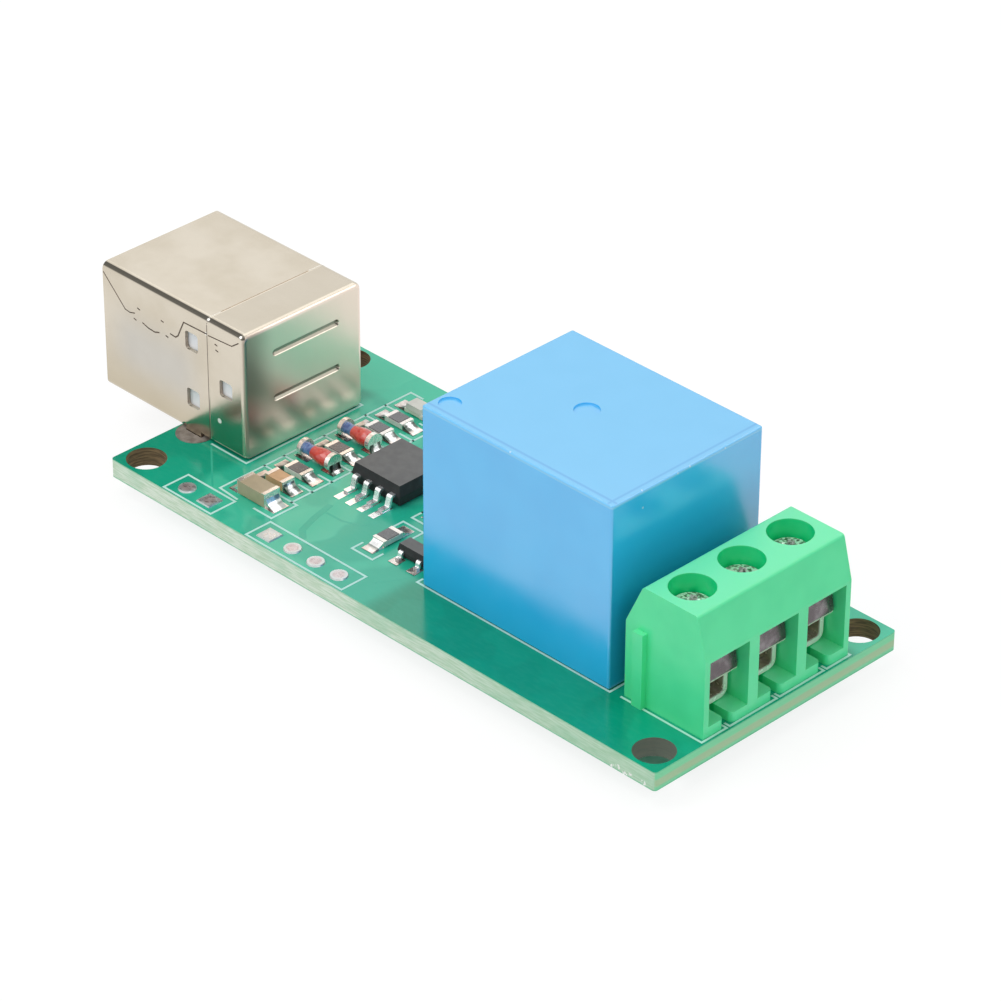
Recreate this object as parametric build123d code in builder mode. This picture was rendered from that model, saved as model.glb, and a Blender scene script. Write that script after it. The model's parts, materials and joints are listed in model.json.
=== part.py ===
from build123d import *
import os

os.makedirs("parts", exist_ok=True)

# USB relay board, millimetres. +X runs along the board to the screw terminal and +Z is up.
# The origin is the centre of the four mounting holes, on the underside of the board.

# Circuit board. Its length follows from what it carries, end to end.
board_width = 25.4
board_thickness = 1.6
board_corner_radius = 0.3
mounting_hole_diameter = 3.2
mounting_hole_inset = 1.95
land_thickness = 0.05
joint_drop = 1.6
joint_ring = 0.4
joint_tip_ring = 0.15
joint_waist_width_share = 0.15
joint_waist_drop_share = 0.35
joint_gap = 0.02
pin_hole_clearance = 0.15
fit_gap = 0.05

# Header holes along the near edge, each filled flat with solder
header_pitch = 2.54
header_hole_diameter = 1.0
header_pad_size = 1.46
header_edge_distance = 1.35
header_fill_height = 0.12
header_fill_taper = 25
supply_header_inset = 8.64
supply_header_pads = 2
program_header_spacing = 11.87
program_header_pads = 4

# USB type B socket
usb_length = 16.3
usb_width = 12.35
usb_height = 11.1
usb_overhang = 8.47
usb_y = 0.44
usb_sheet = 0.3
usb_corner_radius = 0.6
usb_rear_edge_radius = 0.4
usb_rear_cover_length = 4.1
usb_rear_gap = 1.0
usb_window_width = 1.45
usb_window_height = 1.6
usb_window_seam_distance = 1.85
usb_window_rise = 5.7
usb_window_spacing = 5.1
usb_window_corner_radius = 0.25
usb_rear_window_setback = 2.1
usb_rib_length = 7.15
usb_rib_shift = 0.28
usb_rib_height = 0.85
usb_rib_depth = 0.22
usb_rib_rise = 6.5
usb_rib_taper = 42
usb_rib_spacing = 4.0
usb_port_side_wall = 1.95
usb_port_end_wall = 1.66
usb_port_bevel = 1.6
usb_port_depth = 9.0
usb_tongue_side_space = 1.42
usb_tongue_height = 3.2
usb_tongue_recess = 1.0
usb_tongue_chamfer = 0.3
usb_contact_recess = 0.6
usb_contact_width = 0.8
usb_contact_thickness = 0.25
usb_contact_bend = 0.5
usb_pin_spacing = 2.5
usb_pin_row_spacing = 2.0
usb_shield_hole_setback = 10.22
usb_shield_pad_diameter = 3.1
usb_pin_setback = 13.46
usb_tab_width = 1.7
usb_shield_hole_diameter = 2.3

# Row of small surface-mount parts behind the socket
row_setback = 3.93
row_first_y = -5.97
row_pitch = 2.124
chip_length = 2.0
chip_width = 1.25
chip_land_length = 1.4
chip_land_width = 1.2
chip_land_spacing = 2.96
termination_wrap = 0.35
termination_skin = 0.05
resistor_height = 0.5
resistor_coat_length = 1.2
resistor_coat_thickness = 0.07
small_capacitor_height = 0.85
small_capacitor_shift = 0.2
large_capacitor_length = 3.1
large_capacitor_width = 1.6
large_capacitor_height = 1.22
large_capacitor_shift = 0.38
large_capacitor_y = -8.33
large_capacitor_land_spacing = 3.7
diode_length = 3.5
diode_diameter = 1.5
diode_cap_length = 0.4
diode_glass_diameter = 1.36
diode_neck_diameter = 1.0
diode_band_length = 0.75
diode_bulge_shift = 0.4
lamp_base_height = 0.3
lamp_lens_length = 1.7
lamp_height = 0.8
lamp_taper = 6
fillet_width = 1.05
fillet_hollow_reach_share = 0.25
fillet_hollow_rise_share = 0.2
resistor_fillet_rise = 0.4
small_capacitor_fillet_rise = 0.6
large_capacitor_fillet_rise = 0.73
large_capacitor_fillet_width = 1.28
diode_fillet_rise = 0.68

# Controller in an eight-lead wide body
controller_setback = 6.49
controller_y = 0.78
controller_size = 5.28
controller_height = 1.75
controller_standoff = 0.12
controller_span = 8.0
controller_leads_per_side = 4
controller_lead_width = 0.5
moulding_draft = 12.0
lead_pitch = 1.27
lead_thickness = 0.2
lead_bend = 0.14
lead_knee_share = 0.55
lead_heel_share = 0.95
lead_foot = 0.75
lead_root = 0.3
lead_pocket_gap = 0.02
lead_land_width = 0.62
lead_land_length = 2.0

# Driver transistor, its resistor and the flyback diode
transistor_relay_distance = 2.71
transistor_y = -5.72
transistor_length = 2.9
transistor_width = 1.35
transistor_height = 1.0
transistor_lead_rise = 0.45
transistor_span = 2.4
transistor_foot = 0.3
transistor_lead_pitch = 0.95
transistor_lead_width = 0.4
transistor_land_width = 0.9
transistor_land_length = 1.0
driver_resistor_distance = 3.5
driver_resistor_y = -5.42
flyback_diode_relay_distance = 4.56
flyback_diode_y = -0.9

# Relay, sealed in a moulded cover
relay_setback = 11.31
relay_y = -0.05
relay_length = 19.16
relay_width = 15.5
relay_height = 15.58
relay_standoff = 0.15
relay_wall = 0.8
relay_edge_radius = 0.2
relay_foot_diameter = 1.4
relay_foot_inset_x = 1.5
relay_foot_inset_y = 2.5
relay_base_thickness = 2.0
relay_pin_width = 0.9
relay_pin_thickness = 0.4
relay_contact_pin_inset = 3.67
relay_coil_pin_inset = 3.29
relay_side_pin_inset = 1.75
relay_coil_pin_rise = 2.0
relay_corner_mark_diameter = 1.74
relay_corner_mark_inset_x = 1.27
relay_corner_mark_inset_y = 1.63
relay_centre_mark_diameter = 2.0
relay_centre_mark_x = -0.76
relay_centre_mark_y = 0.28
relay_mark_depth = 0.15
relay_mark_taper = 15
yoke_inset = 1.52
yoke_thickness = 1.2
yoke_width = 7.0
yoke_bend = 0.72
yoke_edge_gap = 0.02
coil_side_gap = 0.6
coil_flange_thickness = 0.8
coil_tube_diameter = 4.6
winding_inset = 0.4
core_diameter = 3.6
core_head_diameter = 7.0
core_head_thickness = 0.7
armature_depth_in_cover = 3.28
armature_thickness = 1.0
armature_head_setback = 0.7
armature_corner_radius = 0.6
armature_gap = 0.6
contact_blade_thickness = 0.25
contact_blade_width = 1.8
contact_blade_bend = 0.6
moving_blade_width = 2.6
moving_blade_setback = 1.2
contact_button_diameter = 1.8
contact_button_height = 0.35
contact_button_margin = 0.3
contact_gap = 0.65
common_strip_bend = 0.3
common_strip_gap = 0.15

# Three-pole screw terminal
pole_count = 3
pole_pitch = 5.08
terminal_y = 0.22
terminal_relay_gap = 1.16
terminal_depth = 7.7
terminal_height = 9.98
terminal_front_setback = 0.42
terminal_shoulder_rise = 6.5
terminal_top_back = 1.6
terminal_top_front = 0.9
terminal_edge_radius = 0.3
terminal_back_wall = 1.1
terminal_floor = 0.85
terminal_slot_width = 0.75
terminal_slot_length = 3.0
terminal_tongue_radius = 0.45
partition_thickness = 1.03
shelf_thickness = 0.65
rib_width = 0.95
rib_depth = 0.5
rib_setback = 1.15
rib_height = 6.3
screw_well_diameter = 3.5
screw_well_gap = 0.15
screw_head_height = 1.7
screw_head_chamfer = 0.2
screw_diameter = 2.5
screw_slot_width = 0.55
screw_slot_depth = 0.6
screw_cross_length = 2.1
screw_slot_angle = 35
screw_running_gap = 0.08
cage_side_gap = 0.22
cage_sheet = 0.4
cage_nut_thickness = 0.6
cage_corner_radius = 0.7
cage_front_setback = 1.8
cage_pin_gap = 0.3
cage_rest_gap = 0.1
cage_travel = 1.76
bar_thickness = 0.4
bar_bend = 0.35
bar_rise = 3.55
bar_side_gap = 0.2
bar_front_setback = 1.05
bar_front_lean = 0.35
bar_front_height = 1.9
bar_front_foot = 0.65
bar_pin_width = 1.0
bar_pin_wall_gap = 0.15

# Levels and places worked out from the sizes above. Along the board, each piece is placed
# from the one before it: socket, row, controller, relay and screw terminal.
usb_on_board = usb_length - usb_overhang
relay_end_setback = usb_on_board + row_setback + controller_setback + relay_setback + relay_length
terminal_end_setback = relay_end_setback + terminal_relay_gap + terminal_depth
board_length = terminal_end_setback + terminal_front_setback
deck = board_thickness
land_top = deck + land_thickness
mounting_hole_spacing_x = board_length - 2 * mounting_hole_inset
mounting_hole_spacing_y = board_width - 2 * mounting_hole_inset
pin_tip = -joint_drop + fit_gap
header_y = -board_width / 2 + header_edge_distance
usb_front_x = -board_length / 2 - usb_overhang
usb_rear_x = usb_front_x + usb_length
usb_seam_x = usb_rear_x - usb_rear_cover_length
usb_mid_z = land_top + usb_height / 2
usb_shield_x = usb_front_x + usb_shield_hole_setback
usb_pin_x = usb_front_x + usb_pin_setback
usb_tab_y = usb_width / 2 - usb_sheet / 2
relay_base_top = deck + relay_standoff + relay_base_thickness
row_x = usb_rear_x + row_setback
large_capacitor_x = row_x + large_capacitor_shift
controller_x = row_x + controller_setback
relay_back_x = controller_x + relay_setback
relay_x = relay_back_x + relay_length / 2
transistor_x = relay_back_x - transistor_relay_distance
driver_resistor_x = transistor_x - driver_resistor_distance
flyback_diode_x = relay_back_x - flyback_diode_relay_distance
supply_header_x = supply_header_inset - board_length / 2
program_header_x = supply_header_x + program_header_spacing
relay_side_pin_y = relay_width / 2 - relay_side_pin_inset
relay_coil_pin_x = relay_back_x + relay_coil_pin_inset
yoke_back_x = relay_back_x + yoke_inset
yoke_inner_x = yoke_back_x + yoke_thickness
relay_common_x = yoke_back_x - relay_pin_thickness / 2
contact_x = relay_x + relay_length / 2 - relay_contact_pin_inset
coil_x = (yoke_inner_x + contact_x - contact_blade_width / 2) / 2
coil_room_x = contact_x - contact_blade_width / 2 - coil_x
coil_room_y = relay_side_pin_y - contact_blade_thickness / 2
coil_flange_diameter = 2 * (min(coil_room_x, coil_room_y) - coil_side_gap)
armature_z = deck + relay_height - armature_depth_in_cover
terminal_front_x = board_length / 2 - terminal_front_setback
terminal_back_x = terminal_front_x - terminal_depth
pocket_back_x = terminal_back_x + terminal_back_wall
bar_pin_x = pocket_back_x + bar_pin_wall_gap + bar_thickness / 2
cage_front_x = terminal_front_x - cage_front_setback
cage_back_x = bar_pin_x + bar_thickness / 2 + cage_pin_gap
screw_x = (cage_front_x + cage_back_x) / 2
screw_head_diameter = screw_well_diameter - 2 * screw_well_gap
window_width = pole_pitch - partition_thickness
cage_width = window_width - 2 * cage_side_gap
cage_bottom = deck + terminal_floor + cage_rest_gap
bar_z = deck + bar_rise
cage_nut_z = bar_z + bar_thickness / 2 + cage_rest_gap
cage_top = cage_nut_z + cage_nut_thickness
window_top_z = cage_top + cage_travel + fit_gap
screw_head_z = window_top_z + shelf_thickness
pole_ys = [terminal_y + (pole - (pole_count - 1) / 2) * pole_pitch for pole in range(pole_count)]


def header_xs(centre, pads):
    """X of each hole of a header row about its centre."""
    return [centre + (pad - (pads - 1) / 2) * header_pitch for pad in range(pads)]


supply_xs = header_xs(supply_header_x, supply_header_pads)
program_xs = header_xs(program_header_x, program_header_pads)
row_ys = [row_first_y + cell * row_pitch for cell in range(8)]

# Cells of the row, from the near end: capacitor, resistor, zener, resistor, zener,
# resistor, resistor, lamp
resistor_places = [(row_x, row_ys[cell], "x") for cell in (1, 3, 5, 6)]
resistor_places.append((driver_resistor_x, driver_resistor_y, "y"))
zener_places = [(row_x, row_ys[cell], "x") for cell in (2, 4)]
flyback_place = (flyback_diode_x, flyback_diode_y, "x")
small_capacitor_place = (row_x + small_capacitor_shift, row_ys[0], "x")
large_capacitor_place = (large_capacitor_x, large_capacitor_y, "x")
lamp_place = (row_x, row_ys[7], "x")
chip_land_places = resistor_places + zener_places
chip_land_places += [flyback_place, (row_x, row_ys[0], "x"), lamp_place]

# Pins through the board: x, y, size along X, size along Y
usb_pins = []
for row in range(2):
    for side in (-1, 1):
        pin_x = usb_pin_x + row * usb_pin_row_spacing
        pin_y = usb_y + side * usb_pin_spacing / 2
        usb_pins.append((pin_x, pin_y, usb_contact_thickness, usb_contact_width))
usb_tabs = [(usb_shield_x, usb_y + side * usb_tab_y, usb_tab_width, usb_sheet) for side in (-1, 1)]
relay_pins = [(relay_common_x, relay_y, relay_pin_thickness, relay_pin_width)]
for side in (-1, 1):
    pin_y = relay_y + side * relay_side_pin_y
    relay_pins.append((relay_coil_pin_x, pin_y, relay_pin_width, relay_pin_thickness))
    relay_pins.append((contact_x, pin_y, relay_pin_width, relay_pin_thickness))
bar_pins = [(bar_pin_x, pole_y, bar_thickness, bar_pin_width) for pole_y in pole_ys]
plain_pins = usb_pins + relay_pins + bar_pins


def upright(x, y, z, along):
    """Vertical plane whose own x runs along the given axis and whose own y points up."""
    if along == "x":
        return Plane(origin=(x, y, z), x_dir=(1, 0, 0), z_dir=(0, -1, 0))
    return Plane(origin=(x, y, z), x_dir=(0, 1, 0), z_dir=(1, 0, 0))


def bent_strip(plane, points, bend, thickness, width, mode=Mode.ADD):
    """Sheet strip that follows a bent path in the plane, with its width across the plane."""
    with BuildSketch(plane) as edge_on:
        with BuildLine():
            FilletPolyline(*points, radius=bend)
        trace(line_width=thickness)
    extrude(edge_on.sketch, amount=width / 2, both=True, mode=mode)


def upright_block(x, y, low_z, high_z, size_x, size_y, mode=Mode.ADD):
    """Straight block between two heights."""
    with BuildSketch(Plane.XY.offset(low_z)) as footprint:
        with Locations((x, y)):
            Rectangle(size_x, size_y)
    extrude(footprint.sketch, amount=high_z - low_z, mode=mode)


def round_hole_size(pin):
    """Diameter of the board hole that takes a flat pin."""
    return (pin[2] ** 2 + pin[3] ** 2) ** 0.5 + 2 * pin_hole_clearance


# Circuit board with its mounting holes and pin holes
with BuildPart() as circuit_board:
    with BuildSketch():
        RectangleRounded(board_length, board_width, board_corner_radius)
        with GridLocations(mounting_hole_spacing_x, mounting_hole_spacing_y, 2, 2):
            Circle(mounting_hole_diameter / 2, mode=Mode.SUBTRACT)
        with Locations(*[(x, header_y) for x in supply_xs + program_xs]):
            Circle(header_hole_diameter / 2, mode=Mode.SUBTRACT)
        for pin in plain_pins:
            with Locations((pin[0], pin[1])):
                Circle(round_hole_size(pin) / 2, mode=Mode.SUBTRACT)
        with Locations((usb_shield_x, usb_y)):
            with GridLocations(1, 2 * usb_tab_y, 1, 2):
                Circle(usb_shield_hole_diameter / 2, mode=Mode.SUBTRACT)
    extrude(amount=board_thickness)
circuit_board.part.label = "circuit_board"
export_step(circuit_board.part, "parts/circuit_board.step")

# Header pads: a filled barrel with a low dome on each face, square at the first pin
with BuildPart() as header_pads:
    square_xs = [supply_xs[-1], program_xs[0]]
    for x in supply_xs + program_xs:
        with BuildSketch(upright(x, header_y, 0, "x")) as barrel:
            barrel_radius = header_hole_diameter / 2 - fit_gap
            with Locations((barrel_radius / 2, deck / 2)):
                Rectangle(barrel_radius, deck)
        revolve(barrel.sketch, axis=Axis((x, header_y, 0), (0, 0, 1)))
        for face_z, way in ((deck, 1), (0, -1)):
            with BuildSketch(Plane.XY.offset(face_z)) as land:
                with Locations((x, header_y)):
                    if x in square_xs:
                        Rectangle(header_pad_size, header_pad_size)
                    else:
                        Circle(header_pad_size / 2)
            extrude(land.sketch, amount=way * header_fill_height, taper=header_fill_taper)
header_pads.part.label = "header_pads"
export_step(header_pads.part, "parts/header_pads.step")

# Tinned lands under the surface-mount parts
controller_lead_ys = [controller_y + side * controller_span / 2 for side in (-1, 1)]
middle_lead = (controller_leads_per_side - 1) / 2
controller_lead_xs = [
    controller_x + (lead - middle_lead) * lead_pitch for lead in range(controller_leads_per_side)
]
transistor_leads = [(transistor_x + side * transistor_lead_pitch, -1) for side in (-1, 1)]
transistor_leads.append((transistor_x, 1))
with BuildPart() as solder_lands:
    with BuildSketch(Plane.XY.offset(deck)):
        for x, y, along in chip_land_places:
            for side in (-1, 1):
                shift = side * chip_land_spacing / 2
                if along == "x":
                    with Locations((x + shift, y)):
                        Rectangle(chip_land_length, chip_land_width)
                else:
                    with Locations((x, y + shift)):
                        Rectangle(chip_land_width, chip_land_length)
        with Locations((large_capacitor_x, large_capacitor_y)):
            with GridLocations(large_capacitor_land_spacing, 1, 2, 1):
                Rectangle(chip_land_length, large_capacitor_width)
        for lead_y in controller_lead_ys:
            for lead_x in controller_lead_xs:
                with Locations((lead_x, lead_y)):
                    Rectangle(lead_land_width, lead_land_length)
        for lead_x, side in transistor_leads:
            with Locations((lead_x, transistor_y + side * transistor_span / 2)):
                Rectangle(transistor_land_width, transistor_land_length)
        for tab in usb_tabs:
            with Locations((tab[0], tab[1])):
                Circle(usb_shield_pad_diameter / 2)
                Rectangle(tab[2] + 2 * fit_gap, tab[3] + 2 * fit_gap, mode=Mode.SUBTRACT)
    extrude(amount=land_thickness)
solder_lands.part.label = "solder_lands"
export_step(solder_lands.part, "parts/solder_lands.step")


def end_fillets(place, half_length, reach, rise, width):
    """Concave solder fillet at each end of a chip, on its land."""
    x, y, along = place
    for side in (-1, 1):
        with BuildSketch(upright(x, y, land_top, along)) as wedge:
            with BuildLine():
                foot = (side * half_length, 0)
                toe = (side * (half_length + reach), 0)
                head = (side * half_length, rise)
                hollow_x = side * (half_length + reach * fillet_hollow_reach_share)
                hollow = (hollow_x, rise * fillet_hollow_rise_share)
                Line(foot, toe)
                Bezier(toe, hollow, head)
                Line(head, foot)
            make_face()
        extrude(wedge.sketch, amount=width / 2, both=True)


chip_reach = chip_land_spacing / 2 + chip_land_length / 2 - chip_length / 2 - fit_gap
diode_reach = chip_land_spacing / 2 + chip_land_length / 2 - diode_length / 2
large_reach = large_capacitor_land_spacing / 2 + chip_land_length / 2
large_reach -= large_capacitor_length / 2 + fit_gap
with BuildPart() as solder_fillets:
    for place in resistor_places:
        end_fillets(place, chip_length / 2, chip_reach, resistor_fillet_rise, fillet_width)
    end_fillets(small_capacitor_place, chip_length / 2, chip_reach - small_capacitor_shift,
                small_capacitor_fillet_rise, fillet_width)
    end_fillets(lamp_place, chip_length / 2, chip_reach, lamp_base_height, fillet_width)
    end_fillets(large_capacitor_place, large_capacitor_length / 2, large_reach,
                large_capacitor_fillet_rise, large_capacitor_fillet_width)
    for place in zener_places + [flyback_place]:
        end_fillets(place, diode_length / 2, diode_reach, diode_fillet_rise, fillet_width)
solder_fillets.part.label = "solder_fillets"
export_step(solder_fillets.part, "parts/solder_fillets.step")

# Solder joints under the board, each round its trimmed pin
with BuildPart() as solder_joints:
    for pin in plain_pins + usb_tabs:
        hole_size = usb_shield_hole_diameter if pin in usb_tabs else round_hole_size(pin)
        pad_radius = hole_size / 2 + joint_ring
        tip_radius = max(pin[2], pin[3]) / 2 + joint_tip_ring
        with BuildSketch(upright(pin[0], pin[1], 0, "x")) as half_cone:
            with BuildLine():
                Line((0, 0), (pad_radius, 0))
                Line((pad_radius, 0), (pad_radius, -land_thickness))
                waist_radius = tip_radius + (pad_radius - tip_radius) * joint_waist_width_share
                waist = (waist_radius, -joint_drop * joint_waist_drop_share)
                Bezier((pad_radius, -land_thickness), waist, (tip_radius, -joint_drop))
                Line((tip_radius, -joint_drop), (0, -joint_drop))
                Line((0, -joint_drop), (0, 0))
            make_face()
        revolve(half_cone.sketch, axis=Axis((pin[0], pin[1], 0), (0, 0, 1)))
    for pin in plain_pins + usb_tabs:
        upright_block(pin[0], pin[1], -joint_drop, 0, pin[2] + joint_gap, pin[3] + joint_gap,
                      Mode.SUBTRACT)
solder_joints.part.label = "solder_joints"
export_step(solder_joints.part, "parts/solder_joints.step")

# USB front shell: a folded sheet tube with two latch windows and a solder tab on each side
usb_front_face = Plane(origin=(usb_front_x, usb_y, usb_mid_z), x_dir=(0, 1, 0), z_dir=(1, 0, 0))
usb_front_length = usb_length - usb_rear_cover_length
with BuildPart() as usb_front_shell:
    with BuildSketch(usb_front_face):
        RectangleRounded(usb_width, usb_height, usb_corner_radius)
        RectangleRounded(usb_width - 2 * usb_sheet, usb_height - 2 * usb_sheet,
                         usb_corner_radius - usb_sheet, mode=Mode.SUBTRACT)
    extrude(amount=usb_front_length)
    window_x = usb_seam_x - usb_window_seam_distance
    with BuildSketch(upright(window_x, usb_y, land_top + usb_window_rise, "x")):
        with GridLocations(1, usb_window_spacing, 1, 2):
            RectangleRounded(usb_window_width, usb_window_height, usb_window_corner_radius)
    extrude(amount=usb_width, both=True, mode=Mode.SUBTRACT)
    for tab in usb_tabs:
        upright_block(tab[0], tab[1], pin_tip, land_top + usb_corner_radius, tab[2], tab[3])
usb_front_shell.part.label = "usb_front_shell"
export_step(usb_front_shell.part, "parts/usb_front_shell.step")

# USB rear cover: a folded lid, open to the front and the board, with two pressed ribs
usb_rear_mid_x = usb_rear_x - usb_rear_cover_length / 2
with BuildPart() as usb_rear_cover:
    with BuildSketch(usb_front_face.offset(usb_front_length)):
        RectangleRounded(usb_width, usb_height, usb_corner_radius)
    extrude(amount=usb_rear_cover_length)
    fillet(usb_rear_cover.faces().sort_by(Axis.X)[-1].edges(), usb_rear_edge_radius)
    front_opening = usb_rear_cover.faces().sort_by(Axis.X)[0]
    offset(amount=-usb_sheet, openings=[front_opening])
    upright_block(usb_rear_mid_x - usb_sheet, usb_y, land_top, land_top + usb_sheet,
                  usb_rear_cover_length, usb_width - 2 * usb_sheet, Mode.SUBTRACT)
    with BuildSketch(upright(usb_rear_x - usb_rear_window_setback, usb_y, usb_mid_z, "x")):
        RectangleRounded(usb_window_width, usb_window_width, usb_window_corner_radius)
    extrude(amount=usb_width, both=True, mode=Mode.SUBTRACT)
    rib_z = land_top + usb_rib_rise
    rib_y = usb_y + usb_rib_shift
    rib_plane = Plane(origin=(usb_rear_x, rib_y, rib_z), x_dir=(0, 1, 0), z_dir=(1, 0, 0))
    with BuildSketch(rib_plane.offset(-usb_sheet - usb_rib_depth)):
        with GridLocations(1, usb_rib_spacing, 1, 2):
            SlotOverall(usb_rib_length, usb_rib_height)
    extrude(amount=usb_rib_depth + usb_sheet / 2)
    with BuildSketch(rib_plane):
        with GridLocations(1, usb_rib_spacing, 1, 2):
            SlotOverall(usb_rib_length - usb_rib_depth, usb_rib_height - usb_rib_depth)
    extrude(amount=-usb_rib_depth, taper=usb_rib_taper, mode=Mode.SUBTRACT)
usb_rear_cover.part.label = "usb_rear_cover"
export_step(usb_rear_cover.part, "parts/usb_rear_cover.step")

# USB contacts: two above and two below the tongue, each bent down to its pin
usb_tongue_x = usb_front_x + usb_tongue_recess
usb_contact_tip_x = usb_tongue_x + usb_contact_recess
usb_contact_offset = usb_tongue_height / 2
usb_upper_path = [
    (usb_contact_tip_x, usb_mid_z + usb_contact_offset),
    (usb_pin_x + usb_pin_row_spacing, usb_mid_z + usb_contact_offset),
    (usb_pin_x + usb_pin_row_spacing, pin_tip),
]
usb_lower_path = [
    (usb_contact_tip_x, usb_mid_z - usb_contact_offset),
    (usb_pin_x, usb_mid_z - usb_contact_offset),
    (usb_pin_x, pin_tip),
]
with BuildPart() as usb_contacts:
    for side in (-1, 1):
        contact_plane = upright(0, usb_y + side * usb_pin_spacing / 2, 0, "x")
        for path in (usb_upper_path, usb_lower_path):
            bent_strip(contact_plane, path, usb_contact_bend, usb_contact_thickness, usb_contact_width)
usb_contacts.part.label = "usb_contacts"
export_step(usb_contacts.part, "parts/usb_contacts.step")

# USB insulator: moulded body with the keyed port, the tongue and channels for the contacts
usb_inner_width = usb_width - 2 * usb_sheet - 2 * fit_gap
usb_inner_height = usb_height - 2 * usb_sheet - 2 * fit_gap
usb_body_front_x = usb_front_x + usb_sheet
usb_body_rear_x = usb_rear_x - usb_sheet - usb_rear_gap
port_plane = Plane(origin=(usb_body_front_x, usb_y, usb_mid_z), x_dir=(0, 1, 0), z_dir=(1, 0, 0))
half_port_width = usb_width / 2 - usb_port_side_wall
half_port_height = usb_height / 2 - usb_port_end_wall
usb_tongue_width = 2 * (half_port_width - usb_tongue_side_space)
with BuildPart() as usb_insulator:
    with BuildSketch(port_plane):
        RectangleRounded(usb_inner_width, usb_inner_height, usb_corner_radius - usb_sheet)
    extrude(amount=usb_body_rear_x - usb_body_front_x)
    with BuildSketch(port_plane):
        with BuildLine():
            Polyline(
                (-half_port_width, -half_port_height),
                (half_port_width, -half_port_height),
                (half_port_width, half_port_height - usb_port_bevel),
                (half_port_width - usb_port_bevel, half_port_height),
                (-half_port_width + usb_port_bevel, half_port_height),
                (-half_port_width, half_port_height - usb_port_bevel),
                close=True,
            )
        make_face()
    extrude(amount=usb_port_depth, mode=Mode.SUBTRACT)
    with BuildSketch(port_plane.offset(usb_tongue_x - usb_body_front_x)):
        Rectangle(usb_tongue_width, usb_tongue_height)
    extrude(amount=usb_port_depth)
    tongue_tip = usb_insulator.faces().filter_by(Axis.X).group_by(Axis.X)[1]
    chamfer(tongue_tip.sort_by(Axis.Z)[0].edges(), usb_tongue_chamfer)
    for side in (-1, 1):
        channel_plane = upright(0, usb_y + side * usb_pin_spacing / 2, 0, "x")
        for path in (usb_upper_path, usb_lower_path):
            bent_strip(channel_plane, path, usb_contact_bend, usb_contact_thickness + 2 * fit_gap,
                       usb_contact_width + 2 * fit_gap, Mode.SUBTRACT)
usb_insulator.part.label = "usb_insulator"
export_step(usb_insulator.part, "parts/usb_insulator.step")


def chip_body(place, length, width, height, skin):
    """Ceramic block of a chip part, inside its metal ends."""
    x, y, along = place
    with BuildSketch(upright(x, y, land_top + height / 2, along)) as side_view:
        Rectangle(length - 2 * skin, height - 2 * skin)
    extrude(side_view.sketch, amount=width / 2, both=True)


def chip_ends(place, length, width, height, wrap, skin):
    """Metal ends of a chip part, each wrapped over the top and the bottom."""
    x, y, along = place
    for side in (-1, 1):
        with BuildSketch(upright(x, y, land_top + height / 2, along)) as wrapped:
            with Locations((side * (length - wrap) / 2, 0)):
                Rectangle(wrap, height)
            with Locations((side * (length / 2 - skin - wrap / 2), 0)):
                Rectangle(wrap, height - 2 * skin, mode=Mode.SUBTRACT)
        extrude(wrapped.sketch, amount=width / 2, both=True)


# Chip resistors: ceramic block, printed coat on top and metal ends
with BuildPart() as resistor_bodies:
    for place in resistor_places:
        chip_body(place, chip_length, chip_width, resistor_height, termination_skin)
resistor_bodies.part.label = "resistor_bodies"
export_step(resistor_bodies.part, "parts/resistor_bodies.step")

with BuildPart() as resistor_coats:
    for x, y, along in resistor_places:
        coat_base = land_top + resistor_height - termination_skin
        size = (resistor_coat_length, chip_width - 2 * termination_skin)
        if along == "y":
            size = (size[1], size[0])
        upright_block(x, y, coat_base, coat_base + resistor_coat_thickness, size[0], size[1])
resistor_coats.part.label = "resistor_coats"
export_step(resistor_coats.part, "parts/resistor_coats.step")

with BuildPart() as resistor_ends:
    for place in resistor_places:
        chip_ends(place, chip_length, chip_width, resistor_height, termination_wrap, termination_skin)
resistor_ends.part.label = "resistor_ends"
export_step(resistor_ends.part, "parts/resistor_ends.step")

# Capacitors: plain ceramic blocks with metal ends
capacitors = (
    ("small_capacitor", small_capacitor_place, chip_length, chip_width, small_capacitor_height),
    ("large_capacitor", large_capacitor_place, large_capacitor_length, large_capacitor_width,
     large_capacitor_height),
)
for name, place, length, width, height in capacitors:
    with BuildPart() as capacitor_body:
        chip_body(place, length, width, height, termination_skin)
    capacitor_body.part.label = name
    export_step(capacitor_body.part, f"parts/{name}.step")
    with BuildPart() as capacitor_ends:
        chip_ends(place, length, width, height, termination_wrap, termination_skin)
    capacitor_ends.part.label = name + "_ends"
    export_step(capacitor_ends.part, f"parts/{name}_ends.step")


def diode_glass(place):
    """Glass barrel of a leadless diode, narrow at the band end and fullest past the middle."""
    x, y, along = place
    plane = upright(x, y, land_top + diode_diameter / 2, along)
    half_glass = diode_length / 2 - diode_cap_length
    neck = diode_neck_diameter / 2
    with BuildSketch(plane) as half_barrel:
        with BuildLine():
            Line((-half_glass, 0), (half_glass, 0))
            Line((half_glass, 0), (half_glass, neck))
            Spline((half_glass, neck), (diode_bulge_shift, diode_glass_diameter / 2),
                   (diode_band_length - half_glass, neck), (-half_glass, neck))
            Line((-half_glass, neck), (-half_glass, 0))
        make_face()
    revolve(half_barrel.sketch, axis=Axis(plane.origin, plane.x_dir))


def diode_caps(place):
    """Metal end caps of a leadless diode."""
    x, y, along = place
    plane = upright(x, y, land_top + diode_diameter / 2, along)
    for side in (-1, 1):
        start = plane.origin + plane.x_dir * side * (diode_length / 2 - diode_cap_length)
        with BuildSketch(Plane(origin=start, z_dir=plane.x_dir * side)) as end_view:
            Circle(diode_diameter / 2)
        extrude(end_view.sketch, amount=diode_cap_length)


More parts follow.
